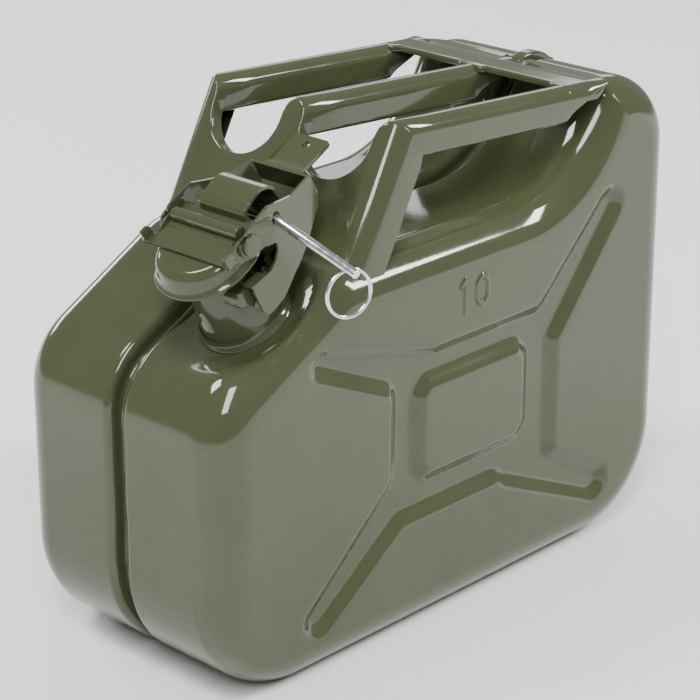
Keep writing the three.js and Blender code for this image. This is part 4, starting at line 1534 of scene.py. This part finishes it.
@dataclass
class Cap(NeckAssembly):
    """The sprung cap: a drawn shell, a gasket, and the strap that carries hinge and lever."""

    radius: float = 24.2
    top: float = 52.0
    bottom: float = 40.2
    pivot: Point = (5.8, 51.6)
    hinge: Point = (33.5, 38.8)

    def build(self) -> None:
        """Builds the cap's pieces."""
        r, b = self.radius, self.bottom
        shell = [
            (0, self.top),
            *arc(r - 4, self.top - 4, 4, 90, 0, 10),
            (r, b + 5.4), (r + 0.3, b + 3.4), (r + 1.0, b + 2.2),
            *arc(r + 0.9, b + 1.0, 1.0, 50, -90, 8),
            (r - 1.4, b), (r - 1.4, self.top - 5), (r - 5, self.top - 1.4),
            (0, self.top - 1.4),
        ]
        verts, faces = turned(shell, 120)
        # The skirt is drawn wider in front, where no lever cheek passes it.
        round_r = np.hypot(verts[:, 0], verts[:, 1])
        front = np.clip(-verts[:, 0] / np.maximum(round_r, 1e-6) * 1.25, 0, 1)
        low = np.clip((self.top - 1.0 - verts[:, 2]) / 9.0, 0, 1) ** 0.6
        swell = np.where(round_r > r - 5, 1 + 2.9 / r * front**1.2 * low, 1.0)
        verts[:, :2] *= swell[:, None]
        self.add("cap_shell_drawn", (verts, faces), "cap_shell", sharp=50)
        ring = [(13.8, 44.4), (21.4, 44.4), (21.8, 44.8), (21.8, 47.0), (18.8, 50.2), (13.8, 50.2)]
        self.add("cap_gasket_moulded", turned(ring, 72, True), "cap_gasket", slot=Slot.RUBBER)
        self._strap()
        for name, side in SIDES.items():
            shank = rod(*self.pivot, 2.5, *span(side, 24.2, 29.2))
            head = rod(*self.pivot, 5.3, *span(side, 28.0, 29.4))
            rivet = joined([shank, head])
            self.add(f"pivot_rivet_headed_{name}", rivet, f"pivot_rivet_{name}")

    def _strap(self) -> None:
        """Builds the strap: plate, rolled beads, hump, side ears and upturned wings."""
        low, high = self.top + 0.3, self.top + 2.0
        hump = rounded(
            [
                (14, low), (19, low), (17.9, 57.2), (22.4, 58.6), (31, 59.8), (36.4, 56.6),
                (37.6, 49), (36.1, 42), (38, 41.3), (39.4, 49), (38.2, 57.6), (31.4, 61.5),
                (21.4, 60.3), (16.4, 58.4), (15.2, 54),
            ],
            7.0,
            9,
        )
        solids = [
            slab([(-11.6, low), (17.5, low), (17.5, high), (-11.6, high)], -25.3, 25.3),
            rod(7.3, 55.6, 3.5, -21.5, 23),
            rod(1.6, high - 0.2, 1.3, -21, 22),
            slab(hump, -16.6, 13.5),
            rod(*self.hinge, 4.3, -16.5, 16.5),
        ]
        brow = high - 0.4
        ear = [(-2, 46.4), (2, 44.6), (10, 44.6), (13, 47), (13, brow), (9.6, 56.6), (2, 56.6)]
        ear = rounded([*ear, (-7, brow)], 2.5, 4)
        wing = [(-11.6, low), (-5.6, low), (-5.6, high), (-11.6, high)]
        upturn = [(-11.6, low), (-5.6, low), (-5.6, 57.6), (-7.2, 59.1), (-11.6, 59.1)]
        for side in (-1, 1):
            for outline, near, far in ((ear, 24.5, 25.8), (wing, 24.2, 29.4), (upturn, 27.9, 29.4)):
                solids.append(slab(outline, *span(side, near, far)))
        self.add("cap_strap_pressed", joined(solids), "cap_strap", bevel=0.55)


@dataclass
class Lever(NeckAssembly):
    """The cam lever: two cheeks with claws, a web and the thumb tab."""

    pivot: Point = (5.8, 51.6)
    hole: Point = (25.4, 50.4)
    half: float = 27.6
    sheet: float = 1.4
    bend: float = 16.0
    taper: float = 0.22
    claw_inner: float = 21.0
    web_u: float = 57.5
    tab_top: float = 46.4

    def outline(self) -> list[Point]:
        """The cheek's side outline.

        Returns:
            Points as (u, w).
        """
        u, w = self.pivot
        lobe = arc(u, w, 6.7, 268, 140, 14)
        rest = rounded(
            [
                (3.4, 59.2), (24, 59.5), (33.5, 53.7), (40.5, 49.8), (57.5, 46.5),
                (57.5, 42.5), (55.8, 34), (53.5, 30.5), (44, 26), (34.8, 22), (23.5, 19.2),
                (8, 13.4), (-2.6, 13), (-5.2, 17), (-4.5, 33.4), (9, 31.2), (14, 33.3),
                (17.6, 36.6), (19.4, 40.8), (13.1, 43.6),
            ],
            4.0,
            5,
        )
        return lobe + rest

    def build(self) -> None:
        """Builds the lever."""
        outer = self.half - 0.12
        hook = [(-4.6, 18.4), (-2.9, 17.3), (3.5, 27.2), (1.9, 28.4)]
        brow = [(-4.5, 32), (6, 30.3), (6, 31.7), (-4.5, 33.4)]
        solids = []
        for side in (-1, 1):
            solids.append(self._cheek(side))
            solids += [slab(claw, *span(side, self.claw_inner, outer)) for claw in (hook, brow)]
        u, top = self.web_u, self.tab_top
        web = self.half - self._inward(u) - 0.1
        solids.append(slab([(u - 1.7, 35), (u, 35), (u, top), (u - 1.7, top)], -web, web))
        solids.append(self._tab())
        self.add("closure_lever_pressed", joined(solids), "closure_lever", bevel=0.45)

    def _inward(self, u: float) -> float:
        """How far a cheek has closed in at u.

        Args:
            u: Place along the lever.

        Returns:
            The inward shift.
        """
        over = u - self.bend
        return self.taper * (0.0 if over < 0 else over * over / 16 if over < 8 else over - 4)

    def _cheek(self, side: int) -> Solid:
        """One cheek with its pin hole and eased bend.

        Args:
            side: +1 for the left cheek, -1 for the right.

        Returns:
            The cheek.
        """
        outline = self.outline()
        grid = [(float(u), float(w)) for u in np.arange(17, 57, 2) for w in np.arange(16, 60, 2)]
        deep = distance_to(np.array(grid), np.array(outline)) < -0.9
        spots = [p for p, fits in zip(grid, deep) if fits and math.dist(p, self.hole) > 4.2]
        points, faces = pierced(outline, self.hole, 3.2, spots, [])
        near, far = (
            [(u, side * (self.half - layer - self._inward(u)), w) for u, w in points]
            for layer in (0.0, self.sheet)
        )
        return thickened(near, far, faces)

    def _tab(self) -> Solid:
        """The thumb tab with its sealing hole.

        Returns:
            The tab.
        """
        start, bend_end = self.web_u, 66.0
        plan = rounded([(start - 1, -12), (81.5, -12), (81.5, 12), (start - 1, 12)], 3.0, 5)
        spots = [(float(u), y) for u in np.arange(start, bend_end) for y in (-8.0, 0.0, 8.0)]
        folds = [((float(u), -11.9), (float(u), 11.9)) for u in np.arange(start + 0.5, bend_end)]
        points, faces = pierced(plan, (75.5, 0), 2.4, spots, folds)
        near, far = (
            [(u, y, self.tab_top - 2.1 * eased((u - start + 1) / 7.5) - layer) for u, y in points]
            for layer in (0.0, 1.7)
        )
        return thickened(near, far, faces)


@dataclass
class PinAndRing(Assembly):
    """The loose locking pin and the two-turn split ring through it."""

    lever: Lever
    radius: float = 2.4
    length: float = 62.0
    inside: float = 6.0
    droop: float = 16.0
    ring_radius: float = 11.6
    wire: float = 0.8
    flattened: float = 0.52
    turn: float = 15.0

    @property
    def direction(self) -> Vector:
        """The way the pin points, out of the lever."""
        a = math.radians(self.droop)
        return Vector((0, -math.cos(a), -math.sin(a)))

    @property
    def entry(self) -> Vector:
        """Where the pin goes through the near cheek.

        Returns:
            The place, in the can's axes.
        """
        u, w = self.lever.hole
        near = self.lever.half - (u - self.lever.bend) * self.lever.taper - self.lever.sheet / 2
        return NECK_FRAME @ Vector((u, -near, w))

    def build(self) -> None:
        """Builds the pin and the ring."""
        tip, end, r = -self.inside, self.length - self.inside, self.radius
        profile = [
            (0, tip), (0.5, tip + 0.1), (0.95, tip + 0.5), (r - 0.2, tip + 4.2),
            (r, tip + 5.2), (r, end - 0.9), (r - 0.25, end - 0.3), (r - 0.8, end), (0, end),
        ]
        verts, faces = turned(profile, 48)
        stand = Vector((0, 0, 1)).rotation_difference(self.direction).to_matrix()
        placed = verts @ np.array(stand).T + np.array(self.entry)
        look = {"body": Body.PIN, "slot": Slot.ZINC}
        self.add("locking_pin_drawn", (placed, faces), "locking_pin", **look)
        self._split_ring()

    def _split_ring(self) -> None:
        """Sweeps the flattened wire through two close turns."""
        a = math.radians(self.turn)
        axis = Vector((math.sin(a), math.cos(a), 0))
        across = Vector((0, 0, 1)).cross(axis)
        hole = self.entry + self.direction * (self.length - self.inside - 5.5)
        middle = hole - Vector((0, 0, self.ring_radius))
        points, sides, steps = [], 12, 220
        thick = self.wire * self.flattened
        for i in range(steps + 1):
            t = i / steps
            angle = math.radians(100 + 690 * t)
            shift = thick * float(np.clip((t - 0.5) / 0.02, -1, 1))
            out = across * math.cos(angle) + Vector((0, 0, 1)) * math.sin(angle)
            spine = middle + out * self.ring_radius + axis * shift
            taper = min(1.0, 0.35 + 24 * min(t, 1 - t))
            for k in range(sides):
                c = 2 * math.pi * k / sides
                wide, deep = self.wire * math.cos(c), thick * math.sin(c)
                points.append(tuple(spine + (out * wide + axis * deep) * taper))
        last = steps * sides
        caps = [tuple(range(sides)), tuple(range(last, last + sides))]
        solid = np.array(points), lofted(steps + 1, sides) + caps
        look = {"body": Body.RING, "slot": Slot.ZINC, "sharp": 60}
        self.add("split_ring_coiled", solid, "split_ring", **look)


# ---- Studio -------------------------------------------------------------------------------


@dataclass
class Studio:
    """A pale floor, soft lights and the camera."""

    lens: float = 125.6
    azimuth: float = -46.3
    elevation: float = 21.68
    distance: float = 1301.15
    across: float = -5.04
    up: float = 6.08
    aim_z: float = 120.0
    roll: float = -0.1

    def build(self) -> None:
        """Builds the whole studio."""
        self._floor()
        self._world()
        self._light("key_softbox", (-1.5, -1.2, 2.2), (0.0, 0.0, 0.0), (0.6, 1.7), 75.0)
        self._light("right_softbox", (1.8, -1.6, 1.9), (0.1, -0.2, 0.0), (0.45, 1.1), 85.0)
        self._light("left_softbox", (0.6, 2.6, 0.9), (0.0, 0.4, 0.1), (1.8, 0.5), 36.0)
        self._light("rear_sheen", (1.75, 1.7, 1.12), (0.0, 0.0, 0.24), (1.5, 0.55), 7.0)
        self._light("front_top", (-1.0, 0.9, 2.0), (-0.4, 0.25, 0.0), (0.6, 0.6), 34.0)
        self._camera()

    def _floor(self) -> None:
        """A plain pale floor that only catches the shadow."""
        material, shader = new_material("studio_floor_painted_matt_white")
        rough = mapped(material, noise(material, 4.0, 3.0), 0.3, 0.7, 0.75, 0.85)
        material.node_tree.links.new(rough, shader.inputs["Roughness"])
        shader.inputs["Base Color"].default_value = linear("#f4f4f3")
        mesh = bpy.data.meshes.new("studio_floor")
        low = -0.0004
        corners = [(-6, -6, low), (6, -6, low), (6, 6, low), (-6, 6, low)]
        mesh.from_pydata(corners, [], [(0, 1, 2, 3)])
        mesh.materials.append(material)
        obj = bpy.data.objects.new("studio_floor", mesh)
        bpy.context.scene.collection.objects.link(obj)

    def _world(self) -> None:
        """An even white surround."""
        world = bpy.data.worlds.new("white_surround")
        world.use_nodes = True
        back = world.node_tree.nodes["Background"]
        back.inputs[0].default_value = linear("#fbfbfa")
        back.inputs[1].default_value = 0.35
        bpy.context.scene.world = world

    def _light(
        self,
        name: str,
        place: tuple[float, float, float],
        aim: tuple[float, float, float],
        size: tuple[float, float],
        power: float,
    ) -> None:
        """Adds one soft rectangular light.

        Args:
            name: The light's name.
            place: Where it stands, in metres.
            aim: Where it points.
            size: Width and height.
            power: Watts.
        """
        data = bpy.data.lights.new(name, "AREA")
        data.shape = "RECTANGLE"
        data.size, data.size_y = size
        data.energy = power
        obj = bpy.data.objects.new(name, data)
        obj.location = place
        way = Vector(aim) - Vector(place)
        obj.rotation_euler = way.to_track_quat("-Z", "Y").to_euler()
        bpy.context.scene.collection.objects.link(obj)

    def _camera(self) -> None:
        """The camera at the real view, found by fitting the can's outline."""
        a, e = math.radians(self.azimuth), math.radians(self.elevation)
        back = Vector((math.sin(a) * math.cos(e), -math.cos(a) * math.cos(e), math.sin(e)))
        right = (-back).cross(Vector((0, 0, 1))).normalized()
        upward = right.cross(-back)
        at = Vector((0, SEAM_Y, self.aim_z)) + back * self.distance
        at += right * self.across + upward * self.up
        turn = Matrix((right, upward, back)).transposed()
        data = bpy.data.cameras.new("camera")
        data.lens = self.lens
        data.sensor_width = 36.0
        data.clip_start, data.clip_end = 0.05, 20.0
        obj = bpy.data.objects.new("camera", data)
        spin = Matrix.Rotation(math.radians(self.roll), 4, "Z")
        obj.matrix_world = Matrix.Translation(at * MM) @ turn.to_4x4() @ spin
        bpy.context.scene.collection.objects.link(obj)
        bpy.context.scene.camera = obj


def main() -> None:
    """Builds every sub-assembly in order."""
    logging.basicConfig(level=logging.INFO, format="%(name)s: %(message)s")
    palette = Palette.build()
    lever = Lever(palette, Body.LEVER)
    for assembly in (
        BodyHalf(palette, side=-1),
        BodyHalf(palette, side=1),
        SeamWeld(palette),
        Handle(palette),
        Neck(palette, Body.CAN),
        Cap(palette, Body.CAP),
        lever,
        PinAndRing(palette, lever),
        Studio(),
    ):
        assembly.build()


if __name__ == "__main__":
    main()
